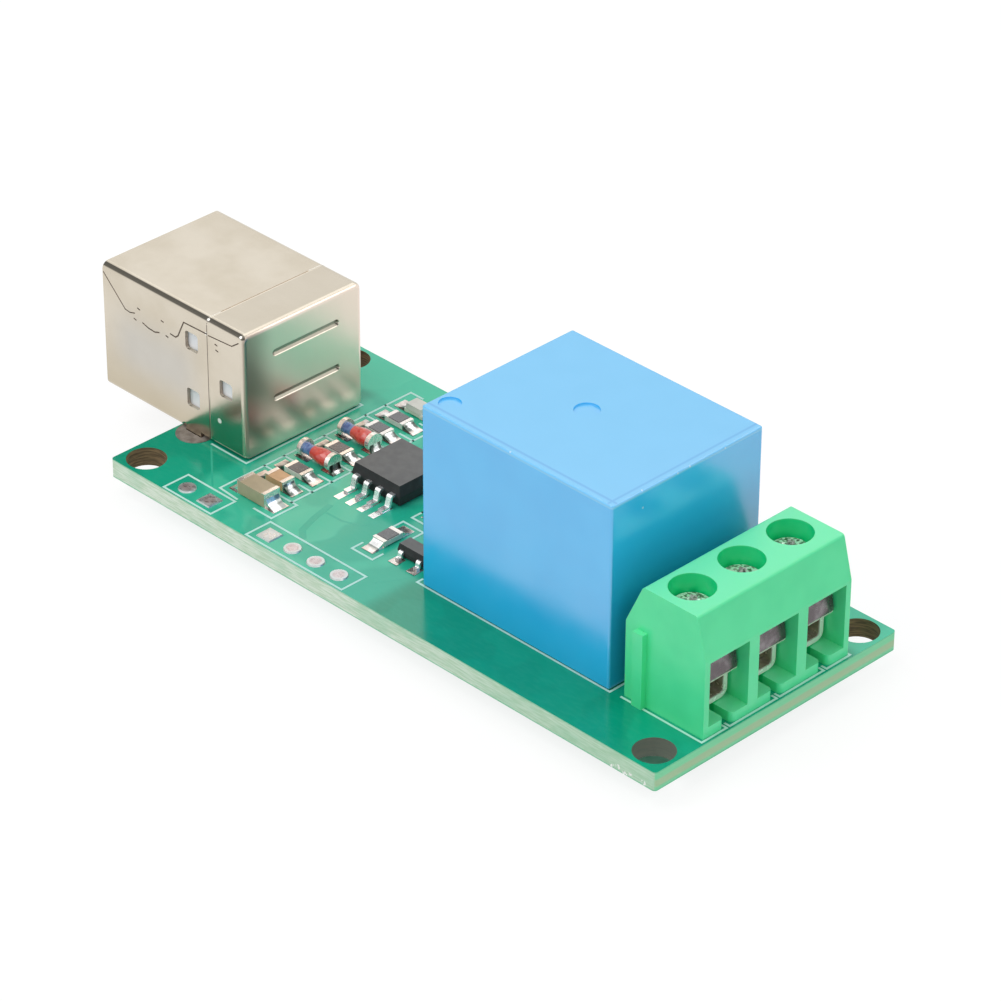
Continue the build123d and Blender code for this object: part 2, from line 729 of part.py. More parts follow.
# Zener diodes of the data lines and the flyback diode of the coil
with BuildPart() as zener_diodes:
    for place in zener_places:
        diode_glass(place)
zener_diodes.part.label = "zener_diodes"
export_step(zener_diodes.part, "parts/zener_diodes.step")

with BuildPart() as flyback_diode:
    diode_glass(flyback_place)
flyback_diode.part.label = "flyback_diode"
export_step(flyback_diode.part, "parts/flyback_diode.step")

with BuildPart() as diode_end_caps:
    for place in zener_places + [flyback_place]:
        diode_caps(place)
diode_end_caps.part.label = "diode_end_caps"
export_step(diode_end_caps.part, "parts/diode_end_caps.step")

# Chip lamp: a plated base under a moulded lens
with BuildPart() as lamp_base:
    chip_ends(lamp_place, chip_length, chip_width, lamp_base_height, termination_wrap, termination_skin)
    chip_body(lamp_place, chip_length, chip_width, lamp_base_height, termination_skin)
lamp_base.part.label = "lamp_base"
export_step(lamp_base.part, "parts/lamp_base.step")

with BuildPart() as lamp_lens:
    with BuildSketch(Plane.XY.offset(land_top + lamp_base_height)):
        with Locations((lamp_place[0], lamp_place[1])):
            Rectangle(lamp_lens_length, chip_width)
    extrude(amount=lamp_height - lamp_base_height, taper=lamp_taper)
lamp_lens.part.label = "lamp_lens"
export_step(lamp_lens.part, "parts/lamp_lens.step")


def gull_wing(x, body_y, side, rise, reach, foot, width):
    """Lead that leaves a body sideways at a height, steps down and ends in a flat foot."""
    plane = upright(x, body_y, land_top + lead_thickness / 2, "y")
    points = [
        (-side * lead_root, rise),
        (side * (reach - foot) * lead_knee_share, rise),
        (side * (reach - foot) * lead_heel_share, 0),
        (side * reach, 0),
    ]
    bent_strip(plane, points, lead_bend, lead_thickness, width)


def lead_pocket(x, body_y, side, level, width):
    """Pocket in the side of a body for the root of one lead."""
    half_height = lead_thickness / 2 + lead_pocket_gap
    depth = lead_root + lead_pocket_gap
    upright_block(x, body_y - side * depth / 2, level - half_height, level + half_height,
                  width + 2 * lead_pocket_gap, depth, Mode.SUBTRACT)


# Controller: moulded body with drafted sides, and eight gull-wing leads
controller_bottom = land_top + controller_standoff
controller_parting = controller_bottom + controller_height / 2
controller_lead_rise = controller_parting - land_top - lead_thickness / 2
controller_reach = (controller_span - controller_size) / 2
with BuildPart() as controller_leads:
    for side in (-1, 1):
        for lead_x in controller_lead_xs:
            body_edge = controller_y + side * controller_size / 2
            gull_wing(lead_x, body_edge, side, controller_lead_rise, controller_reach, lead_foot,
                      controller_lead_width)
controller_leads.part.label = "controller_leads"
export_step(controller_leads.part, "parts/controller_leads.step")

with BuildPart() as controller_body:
    with BuildSketch(Plane.XY.offset(controller_parting)):
        with Locations((controller_x, controller_y)):
            Rectangle(controller_size, controller_size)
    extrude(amount=controller_height / 2, taper=moulding_draft)
    parting_face = controller_body.faces().sort_by(Axis.Z)[0]
    extrude(parting_face, amount=controller_height / 2, taper=moulding_draft)
    for side in (-1, 1):
        for lead_x in controller_lead_xs:
            lead_pocket(lead_x, controller_y + side * controller_size / 2, side, controller_parting,
                        controller_lead_width)
controller_body.part.label = "controller_body"
export_step(controller_body.part, "parts/controller_body.step")

# Transistor: two leads on the near side and one on the far side
transistor_parting = land_top + lead_thickness / 2 + transistor_lead_rise
transistor_reach = (transistor_span - transistor_width) / 2
with BuildPart() as transistor_leads_part:
    for lead_x, side in transistor_leads:
        body_edge = transistor_y + side * transistor_width / 2
        gull_wing(lead_x, body_edge, side, transistor_lead_rise, transistor_reach, transistor_foot,
                  transistor_lead_width)
transistor_leads_part.part.label = "transistor_leads"
export_step(transistor_leads_part.part, "parts/transistor_leads.step")

with BuildPart() as transistor_body:
    with BuildSketch(Plane.XY.offset(transistor_parting)):
        with Locations((transistor_x, transistor_y)):
            Rectangle(transistor_length, transistor_width)
    extrude(amount=transistor_height - transistor_lead_rise, taper=moulding_draft)
    parting_face = transistor_body.faces().sort_by(Axis.Z)[0]
    extrude(parting_face, amount=transistor_lead_rise, taper=moulding_draft)
    for lead_x, side in transistor_leads:
        lead_pocket(lead_x, transistor_y + side * transistor_width / 2, side, transistor_parting,
                    transistor_lead_width)
transistor_body.part.label = "transistor_body"
export_step(transistor_body.part, "parts/transistor_body.step")

# Relay cover: thin moulded box, open below, with rounded top edges and two shallow round marks on top
relay_cover_bottom = deck + relay_standoff
relay_cover_height = relay_height - relay_standoff
relay_top = deck + relay_height
with BuildPart() as relay_cover:
    with BuildSketch(Plane.XY.offset(relay_cover_bottom)):
        with Locations((relay_x, relay_y)):
            RectangleRounded(relay_length, relay_width, relay_edge_radius)
    extrude(amount=relay_cover_height)
    fillet(relay_cover.faces().sort_by(Axis.Z)[-1].edges(), relay_edge_radius)
    relay_open_face = relay_cover.faces().sort_by(Axis.Z)[0]
    offset(amount=-relay_wall, openings=[relay_open_face])
    with BuildSketch(Plane.XY.offset(relay_top)):
        corner_mark_x = relay_back_x + relay_corner_mark_inset_x
        corner_mark_y = relay_y - relay_width / 2 + relay_corner_mark_inset_y
        with Locations((corner_mark_x, corner_mark_y)):
            Circle(relay_corner_mark_diameter / 2)
        with Locations((relay_x + relay_centre_mark_x, relay_y + relay_centre_mark_y)):
            Circle(relay_centre_mark_diameter / 2)
    extrude(amount=-relay_mark_depth, taper=relay_mark_taper, mode=Mode.SUBTRACT)
relay_cover.part.label = "relay_cover"
export_step(relay_cover.part, "parts/relay_cover.step")

# Relay base: plate that closes the cover, on four feet, slotted for the pins
relay_inner_length = relay_length - 2 * relay_wall - 2 * fit_gap
relay_inner_width = relay_width - 2 * relay_wall - 2 * fit_gap
with BuildPart() as relay_base:
    with BuildSketch(Plane.XY.offset(relay_cover_bottom)):
        with Locations((relay_x, relay_y)):
            Rectangle(relay_inner_length, relay_inner_width)
    extrude(amount=relay_base_thickness)
    with BuildSketch(Plane.XY.offset(deck)):
        with Locations((relay_x, relay_y)):
            with GridLocations(relay_inner_length - 2 * relay_foot_inset_x,
                               relay_inner_width - 2 * relay_foot_inset_y, 2, 2):
                Circle(relay_foot_diameter / 2)
    extrude(amount=relay_standoff)
    for pin in relay_pins:
        upright_block(pin[0], pin[1], relay_cover_bottom, relay_base_top,
                      pin[2] + 2 * fit_gap, pin[3] + 2 * fit_gap, Mode.SUBTRACT)
relay_base.part.label = "relay_base"
export_step(relay_base.part, "parts/relay_base.step")

# Yoke: steel angle under and behind the coil, with a hole for the core
yoke_bottom = relay_base_top + fit_gap
coil_centre = (coil_x, relay_y)
yoke_top = armature_z - yoke_edge_gap
with BuildPart() as relay_yoke:
    yoke_path = [
        (coil_x + core_head_diameter / 2, yoke_bottom + yoke_thickness / 2),
        (yoke_inner_x - yoke_thickness / 2, yoke_bottom + yoke_thickness / 2),
        (yoke_inner_x - yoke_thickness / 2, yoke_top),
    ]
    bent_strip(upright(0, relay_y, 0, "x"), yoke_path, yoke_bend, yoke_thickness, yoke_width)
    with Locations((coil_centre[0], coil_centre[1], yoke_bottom)):
        Hole(radius=core_diameter / 2 + fit_gap)
relay_yoke.part.label = "relay_yoke"
export_step(relay_yoke.part, "parts/relay_yoke.step")

# Core: riveted pole piece with a wide head under the armature
core_top = armature_z - armature_gap
with BuildPart() as relay_core:
    with BuildSketch(Plane.XY.offset(yoke_bottom)):
        with Locations(coil_centre):
            Circle(core_diameter / 2)
    extrude(amount=core_top - yoke_bottom)
    with BuildSketch(Plane.XY.offset(core_top - core_head_thickness)):
        with Locations(coil_centre):
            Circle(core_head_diameter / 2)
    extrude(amount=core_head_thickness)
relay_core.part.label = "relay_core"
export_step(relay_core.part, "parts/relay_core.step")

# Bobbin: tube with two flanges, turned about the core
bobbin_bottom = yoke_bottom + yoke_thickness + fit_gap
bobbin_top = core_top - core_head_thickness - fit_gap
coil_axis = Axis((coil_centre[0], coil_centre[1], 0), (0, 0, 1))
with BuildPart() as relay_bobbin:
    with BuildSketch(upright(coil_centre[0], coil_centre[1], 0, "x")):
        with BuildLine():
            bore = core_diameter / 2 + fit_gap
            tube = coil_tube_diameter / 2
            rim = coil_flange_diameter / 2
            Polyline(
                (bore, bobbin_bottom),
                (rim, bobbin_bottom),
                (rim, bobbin_bottom + coil_flange_thickness),
                (tube, bobbin_bottom + coil_flange_thickness),
                (tube, bobbin_top - coil_flange_thickness),
                (rim, bobbin_top - coil_flange_thickness),
                (rim, bobbin_top),
                (bore, bobbin_top),
                close=True,
            )
        make_face()
    revolve(axis=coil_axis)
relay_bobbin.part.label = "relay_bobbin"
export_step(relay_bobbin.part, "parts/relay_bobbin.step")

# Winding: copper wire as one closed ring between the flanges
winding_bottom = bobbin_bottom + coil_flange_thickness + fit_gap
winding_top = bobbin_top - coil_flange_thickness - fit_gap
with BuildPart() as relay_winding:
    with BuildSketch(Plane.XY.offset(winding_bottom)):
        with Locations(coil_centre):
            Circle(coil_flange_diameter / 2 - winding_inset)
            Circle(coil_tube_diameter / 2 + fit_gap, mode=Mode.SUBTRACT)
    extrude(amount=winding_top - winding_bottom)
relay_winding.part.label = "relay_winding"
export_step(relay_winding.part, "parts/relay_winding.step")

# Armature: steel plate that rocks on the yoke's edge
armature_end_x = coil_x + core_head_diameter / 2 - armature_head_setback
with BuildPart() as relay_armature:
    with BuildSketch(Plane.XY.offset(armature_z)):
        with Locations(((yoke_back_x + armature_end_x) / 2, relay_y)):
            RectangleRounded(armature_end_x - yoke_back_x, yoke_width, armature_corner_radius)
    extrude(amount=armature_thickness)
relay_armature.part.label = "relay_armature"
export_step(relay_armature.part, "parts/relay_armature.step")

# Moving contact: spring blade on the armature with a button through its free end
blade_base = armature_z + armature_thickness
blade_start_x = yoke_inner_x + moving_blade_setback
blade_end_x = contact_x + contact_button_diameter / 2 + contact_button_margin
with BuildPart() as relay_moving_contact:
    with BuildSketch(Plane.XY.offset(blade_base)):
        with Locations(((blade_start_x + blade_end_x) / 2, relay_y)):
            RectangleRounded(blade_end_x - blade_start_x, moving_blade_width, armature_corner_radius)
    extrude(amount=contact_blade_thickness)
    with BuildSketch(Plane.XY.offset(blade_base - contact_button_height)):
        with Locations((contact_x, relay_y)):
            Circle(contact_button_diameter / 2)
    extrude(amount=2 * contact_button_height + contact_blade_thickness)
relay_moving_contact.part.label = "relay_moving_contact"
export_step(relay_moving_contact.part, "parts/relay_moving_contact.step")


def fixed_contact(side, blade_z, button_z):
    """Contact blade bent from its pin to the middle, with a round button facing the armature."""
    half_blade = contact_button_diameter / 2 + contact_button_margin
    path = [
        (side * relay_side_pin_y, relay_base_top),
        (side * relay_side_pin_y, blade_z),
        (-side * half_blade, blade_z),
    ]
    plane = upright(contact_x, relay_y, 0, "y")
    bent_strip(plane, path, contact_blade_bend, contact_blade_thickness, contact_blade_width)
    pin_y = relay_y + side * relay_side_pin_y
    upright_block(contact_x, pin_y, pin_tip, relay_base_top, relay_pin_width, relay_pin_thickness)
    low, high = sorted((blade_z, button_z))
    with BuildSketch(Plane.XY.offset(low)) as button:
        with Locations((contact_x, relay_y)):
            Circle(contact_button_diameter / 2)
    extrude(button.sketch, amount=high - low)


# Normally open contact below the moving button, normally closed contact above it
button_low = blade_base - contact_button_height
button_high = blade_base + contact_blade_thickness + contact_button_height
open_button_z = button_low - contact_gap
closed_button_z = button_high + fit_gap
blade_depth = contact_button_height + contact_blade_thickness / 2
with BuildPart() as relay_open_contact:
    fixed_contact(-1, open_button_z - blade_depth, open_button_z)
relay_open_contact.part.label = "relay_open_contact"
export_step(relay_open_contact.part, "parts/relay_open_contact.step")

with BuildPart() as relay_closed_contact:
    fixed_contact(1, closed_button_z + blade_depth, closed_button_z)
relay_closed_contact.part.label = "relay_closed_contact"
export_step(relay_closed_contact.part, "parts/relay_closed_contact.step")

# Common strip: pin up the back of the yoke, bent over the armature's tail as its spring
strip_top = blade_base + common_strip_gap + relay_pin_thickness / 2
with BuildPart() as relay_common_strip:
    strip_path = [
        (relay_common_x, pin_tip),
        (relay_common_x, strip_top),
        (yoke_inner_x, strip_top),
    ]
    bent_strip(upright(0, relay_y, 0, "x"), strip_path, common_strip_bend, relay_pin_thickness,
               relay_pin_width)
relay_common_strip.part.label = "relay_common_strip"
export_step(relay_common_strip.part, "parts/relay_common_strip.step")

# Coil pins: two straight pins that take the ends of the winding
with BuildPart() as relay_coil_pins:
    for side in (-1, 1):
        pin_y = relay_y + side * relay_side_pin_y
        upright_block(relay_coil_pin_x, pin_y, pin_tip, relay_base_top + relay_coil_pin_rise,
                      relay_pin_width, relay_pin_thickness)
relay_coil_pins.part.label = "relay_coil_pins"
export_step(relay_coil_pins.part, "parts/relay_coil_pins.step")

# Terminal housing: one moulding with a wire window, a screw well and a split floor per pole
terminal_width = pole_count * pole_pitch
terminal_near_y = terminal_y - terminal_width / 2
terminal_far_y = terminal_y + terminal_width / 2
pocket_length = terminal_front_x - pocket_back_x
rib_x = terminal_back_x + rib_setback + rib_width / 2
with BuildPart() as terminal_housing:
    with BuildSketch(upright(terminal_back_x, terminal_y, deck, "x")):
        with BuildLine():
            Polyline(
                (0, 0),
                (terminal_depth, 0),
                (terminal_depth, terminal_shoulder_rise),
                (terminal_depth - terminal_top_front, terminal_height),
                (terminal_top_back, terminal_height),
                (0, terminal_shoulder_rise),
                close=True,
            )
        make_face()
    extrude(amount=terminal_width / 2, both=True)
    raised_edges = terminal_housing.edges().filter_by(Axis.Y).group_by(Axis.Z)[1:]
    fillet([edge for level in raised_edges for edge in level], terminal_edge_radius)
    for pole_y in pole_ys:
        upright_block(pocket_back_x + pocket_length / 2, pole_y, deck + terminal_floor,
                      window_top_z, pocket_length, window_width, Mode.SUBTRACT)
        with Locations((screw_x, pole_y, deck + terminal_height)):
            CounterBoreHole(
                radius=screw_diameter / 2 + screw_running_gap + fit_gap,
                counter_bore_radius=screw_well_diameter / 2,
                counter_bore_depth=deck + terminal_height - screw_head_z + fit_gap,
                depth=deck + terminal_height - bar_z,
            )
        upright_block(terminal_front_x - terminal_slot_length / 2, pole_y, deck,
                      deck + terminal_floor, terminal_slot_length, terminal_slot_width, Mode.SUBTRACT)
        upright_block(bar_pin_x, pole_y, deck, deck + terminal_floor,
                      bar_thickness + 2 * fit_gap, bar_pin_width + 2 * fit_gap, Mode.SUBTRACT)
    front_face = terminal_housing.faces().filter_by(Axis.X).sort_by(Axis.X)[-1]
    tongue_corners = [
        edge for edge in front_face.edges().filter_by(Axis.X, reverse=True)
        if abs(edge.length - terminal_floor) < fit_gap
        and min(abs(edge.center().Y - pole_y) for pole_y in pole_ys) < terminal_slot_width
    ]
    fillet(tongue_corners, terminal_tongue_radius)
    upright_block(rib_x, terminal_near_y - rib_depth / 2, deck, deck + rib_height, rib_width, rib_depth)
    upright_block(rib_x, terminal_far_y - rib_depth / 2, deck, deck + rib_height,
                  rib_width + 2 * fit_gap, rib_depth + fit_gap, Mode.SUBTRACT)
terminal_housing.part.label = "terminal_housing"
export_step(terminal_housing.part, "parts/terminal_housing.step")

# Screw, clamp cage and fixed bar of each pole
cage_height = cage_top - cage_bottom
cage_inner_width = cage_width - 2 * cage_sheet
bar_bend_x = terminal_front_x - bar_front_setback
bar_front_start_x = bar_bend_x - bar_front_foot
bar_middle_length = bar_front_start_x - bar_pin_x - bar_bend
for pole, pole_y in enumerate(pole_ys, start=1):
    with BuildPart() as terminal_screw:
        with BuildSketch(Plane.XY.offset(screw_head_z)):
            with Locations((screw_x, pole_y)):
                Circle(screw_head_diameter / 2)
        extrude(amount=screw_head_height)
        chamfer(terminal_screw.edges().sort_by(Axis.Z)[-1], screw_head_chamfer)
        with BuildSketch(Plane.XY.offset(cage_nut_z)):
            with Locations((screw_x, pole_y)):
                Circle(screw_diameter / 2)
        extrude(amount=screw_head_z - cage_nut_z)
        with BuildSketch(Plane.XY.offset(screw_head_z + screw_head_height)):
            with Locations(Location((screw_x, pole_y), screw_slot_angle)):
                Rectangle(screw_head_diameter, screw_slot_width)
                Rectangle(screw_slot_width, screw_cross_length)
        extrude(amount=-screw_slot_depth, mode=Mode.SUBTRACT)
    terminal_screw.part.label = f"terminal_screw_{pole}"
    export_step(terminal_screw.part, f"parts/terminal_screw_{pole}.step")

    with BuildPart() as clamp_cage:
        cage_face = Plane(origin=(cage_front_x, pole_y, cage_bottom + cage_height / 2),
                          x_dir=(0, 1, 0), z_dir=(1, 0, 0))
        with BuildSketch(cage_face):
            RectangleRounded(cage_width, cage_height, cage_corner_radius)
            with Locations((0, (cage_sheet - cage_nut_thickness) / 2)):
                RectangleRounded(cage_inner_width, cage_height - cage_sheet - cage_nut_thickness,
                                 cage_corner_radius - cage_sheet, mode=Mode.SUBTRACT)
        extrude(amount=cage_back_x - cage_front_x)
        with BuildSketch(Plane.XY.offset(cage_top)):
            with Locations((screw_x, pole_y)):
                Circle(screw_diameter / 2 + screw_running_gap)
        extrude(amount=-2 * cage_nut_thickness, mode=Mode.SUBTRACT)
    clamp_cage.part.label = f"clamp_cage_{pole}"
    export_step(clamp_cage.part, f"parts/clamp_cage_{pole}.step")

    with BuildPart() as terminal_bar:
        bar_plane = upright(0, pole_y, 0, "x")
        pin_path = [
            (bar_pin_x, pin_tip),
            (bar_pin_x, bar_z),
            (bar_pin_x + 2 * bar_bend, bar_z),
        ]
        bent_strip(bar_plane, pin_path, bar_bend, bar_thickness, bar_pin_width)
        front_path = [
            (bar_front_start_x, bar_z),
            (bar_bend_x, bar_z),
            (bar_bend_x - bar_front_lean, bar_z + bar_front_height),
        ]
        bent_strip(bar_plane, front_path, bar_bend, bar_thickness, cage_width)
        upright_block(bar_front_start_x - bar_middle_length / 2, pole_y, bar_z - bar_thickness / 2,
                      bar_z + bar_thickness / 2, bar_middle_length,
                      cage_inner_width - 2 * bar_side_gap)
    terminal_bar.part.label = f"terminal_bar_{pole}"
    export_step(terminal_bar.part, f"parts/terminal_bar_{pole}.step")
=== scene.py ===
import json
import math

import bmesh
import bpy
from mathutils import Matrix, Vector


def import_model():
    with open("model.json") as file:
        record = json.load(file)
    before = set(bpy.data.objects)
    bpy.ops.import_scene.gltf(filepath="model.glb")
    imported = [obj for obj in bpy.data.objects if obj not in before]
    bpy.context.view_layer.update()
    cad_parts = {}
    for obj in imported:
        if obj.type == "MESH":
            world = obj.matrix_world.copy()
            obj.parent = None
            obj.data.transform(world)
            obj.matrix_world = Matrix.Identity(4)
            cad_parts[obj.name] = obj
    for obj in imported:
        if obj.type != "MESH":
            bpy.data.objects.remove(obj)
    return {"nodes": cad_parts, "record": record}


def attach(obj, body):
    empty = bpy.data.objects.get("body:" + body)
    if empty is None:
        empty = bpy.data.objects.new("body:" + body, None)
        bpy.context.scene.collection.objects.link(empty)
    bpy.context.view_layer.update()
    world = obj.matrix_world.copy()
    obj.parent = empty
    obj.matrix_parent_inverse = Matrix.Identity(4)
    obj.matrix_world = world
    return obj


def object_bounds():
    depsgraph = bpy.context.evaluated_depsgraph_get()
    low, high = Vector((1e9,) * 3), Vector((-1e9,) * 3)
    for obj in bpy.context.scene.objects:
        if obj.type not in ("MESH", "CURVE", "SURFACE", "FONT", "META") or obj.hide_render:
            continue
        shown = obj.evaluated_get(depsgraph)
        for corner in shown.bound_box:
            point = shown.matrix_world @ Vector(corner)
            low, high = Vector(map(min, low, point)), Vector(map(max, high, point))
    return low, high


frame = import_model()
cad_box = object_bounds()
nodes = frame["nodes"]
MM = 0.001
WHITE = (1, 1, 1, 1)


# Places and sizes in millimetres, as the solids have them
DECK = 1.6
DECK_GAP = 0.004
BOARD_END = 29.0
BOARD_SIDE = 12.7
RELAY_FRONT = 19.72
RELAY_NEAR = -7.8
RELAY_TOP = 17.18
USB_SEAM = -25.27
USB_REAR = -21.17
USB_MIDDLE = 0.44
USB_HALF = 6.175
USB_NEAR = USB_MIDDLE - USB_HALF
USB_BOTTOM = 1.65
USB_TOP = 12.75
USB_CORNER = 0.6
USB_GAP = 0.002
BAR_LOW = 4.95
SCREW_X = 24.805
TERMINAL_MIDDLE = 0.22
TERMINAL_PITCH = 5.08
HEADER_PITCH = 2.54
HEADER_Y = -11.35
HEADER_X = -12.3
SUPPLY_HEADER_X = -21.63
ROW_X = -17.24
ROW_Y = -5.97
ROW_PITCH = 2.124


def rgb(red, green, blue):
    """Linear colour from display values of 0 to 255."""
    def linear(value):
        value /= 255
        return value / 12.92 if value <= 0.04045 else ((value + 0.055) / 1.055) ** 2.4
    return (linear(red), linear(green), linear(blue), 1)


def times(colour, factor):
    """Colour made lighter or darker by a factor."""
    return tuple(min(1, channel * factor) for channel in colour[:3]) + (1,)


class Paint:
    """A node material: colour, roughness and relief come from noise and from place on the part."""

    def __init__(self, name, **sockets):
        self.material = bpy.data.materials.new(name)
        self.material.use_nodes = True
        self.tree = self.material.node_tree
        self.shader = self.tree.nodes["Principled BSDF"]
        for socket, value in sockets.items():
            self.shader.inputs[socket.replace("_", " ")].default_value = value
        self.place = self.node("ShaderNodeTexCoord").outputs["Object"]
        self.axes = self.node("ShaderNodeSeparateXYZ", Vector=self.place).outputs
        self.normal = self.node("ShaderNodeNewGeometry").outputs["Normal"]
        self.facing = self.node("ShaderNodeSeparateXYZ", Vector=self.normal).outputs
        self.relief = None

    def node(self, kind, **sockets):
        """New node with its named sockets filled."""
        made = self.tree.nodes.new(kind)
        for socket, value in sockets.items():
            self.set(made.inputs[socket.replace("_", " ")], value)
        return made

    def set(self, socket, value):
        """Link another node's output to a socket, or give it a plain value."""
        if isinstance(value, bpy.types.NodeSocket):
            self.tree.links.new(value, socket)
        else:
            socket.default_value = value

    def math(self, operation, first, second=0.0, third=0.0):
        """Output of a math node."""
        made = self.tree.nodes.new("ShaderNodeMath")
        made.operation = operation
        for socket, value in zip(made.inputs, (first, second, third)):
            self.set(socket, value)
        return made.outputs[0]

    def noise(self, size_mm, detail=2.0, stretch=(1, 1, 1), rough=0.5, shift=0.0):
        """Noise of 0 to 1 with features of about the given size, longer along a stretched axis."""
        mapping = self.node("ShaderNodeMapping", Vector=self.place, Location=(shift, shift, shift),
                            Scale=tuple(1 / (size_mm * MM * value) for value in stretch))
        return self.node("ShaderNodeTexNoise", Vector=mapping.outputs[0], Scale=1.0, Detail=detail,
                         Roughness=rough).outputs["Fac"]

    def spread(self, value, low, high, to_low=0.0, to_high=1.0):
        """Value from low..high carried to to_low..to_high, with smooth ends."""
        made = self.node("ShaderNodeMapRange", Value=value, From_Min=low, From_Max=high,
                         To_Min=to_low, To_Max=to_high)
        made.interpolation_type = "SMOOTHSTEP"
        return made.outputs[0]

    def blend(self, share, first, second):
        """First colour where share is 0, second where it is 1."""
        made = self.tree.nodes.new("ShaderNodeMix")
        made.data_type = "RGBA"
        self.set(made.inputs[0], share)
        self.set(made.inputs[6], first)
        self.set(made.inputs[7], second)
        return made.outputs[2]

    def mottle(self, cloud, first, second):
        """Two colours in soft patches that follow a noise."""
        return self.blend(self.spread(cloud, 0.3, 0.7), first, second)

    def uneven(self, size_mm, shift, low, high):
        """Value that wanders between low and high in patches of about the given size."""
        return self.spread(self.noise(size_mm, 2, shift=shift), 0.3, 0.7, low, high)

    def colour(self, value):
        self.set(self.shader.inputs["Base Color"], value)

    def roughness(self, value):
        self.set(self.shader.inputs["Roughness"], value)

    def bump(self, height, depth_mm, strength=1.0):
        """Relief whose height of 1 stands depth_mm proud."""
        made = self.node("ShaderNodeBump", Height=height, Strength=strength,
                         Distance=depth_mm * MM)
        if self.relief is not None:
            self.set(made.inputs["Normal"], self.relief)
        self.relief = made.outputs[0]
        self.set(self.shader.inputs["Normal"], self.relief)

    def above(self, axis, place_mm, soft_mm=0.02):
        """1 where the axis lies beyond a place on the part, 0 before it."""
        return self.spread(self.axes[axis], (place_mm - soft_mm) * MM, (place_mm + soft_mm) * MM)

    def below(self, axis, place_mm, soft_mm=0.02):
        """1 where the axis lies before a place on the part, 0 beyond it."""
        return self.without(self.above(axis, place_mm, soft_mm))

    def without(self, share):
        """1 where the share is 0, and 0 where it is 1."""
        return self.math("SUBTRACT", 1.0, share)

    def both(self, first, second):
        """1 where both shares are 1."""
        return self.math("MULTIPLY", first, second)

    def reach(self, first, second):
        """Distance from the middle, from two distances at right angles."""
        squares = self.math("ADD", self.both(first, first), self.both(second, second))
        return self.math("SQRT", squares)

    def between(self, axis, low_mm, high_mm, soft_mm=0.02):
        """1 where the axis lies between two places, 0 elsewhere."""
        return self.both(self.above(axis, low_mm, soft_mm), self.below(axis, high_mm, soft_mm))

    def spots(self, places, reach_mm):
        """1 within reach of any of the places, 0 elsewhere."""
        found = None
        for place in places:
            away = self.tree.nodes.new("ShaderNodeVectorMath")
            away.operation = "DISTANCE"
            self.set(away.inputs[0], self.place)
            away.inputs[1].default_value = Vector(place) * MM
            near = self.spread(away.outputs["Value"], reach_mm * 0.6 * MM, reach_mm * MM, 1, 0)
            found = near if found is None else self.math("MAXIMUM", found, near)
        return found


def simple(name, colour, vary=0.12, patch=1.2, rough=(0.35, 0.5), grain=0.12, depth=0.01,
           **sockets):
    """Material with mottled colour, uneven gloss and a fine grain."""
    paint = Paint(name, **sockets)
    paint.colour(paint.mottle(paint.noise(patch, 3), times(colour, 1 - vary),
                              times(colour, 1 + vary)))
    paint.roughness(paint.uneven(patch * 0.7, 3.0, *rough))
    paint.bump(paint.noise(grain, 3, shift=7.0), depth)
    return paint


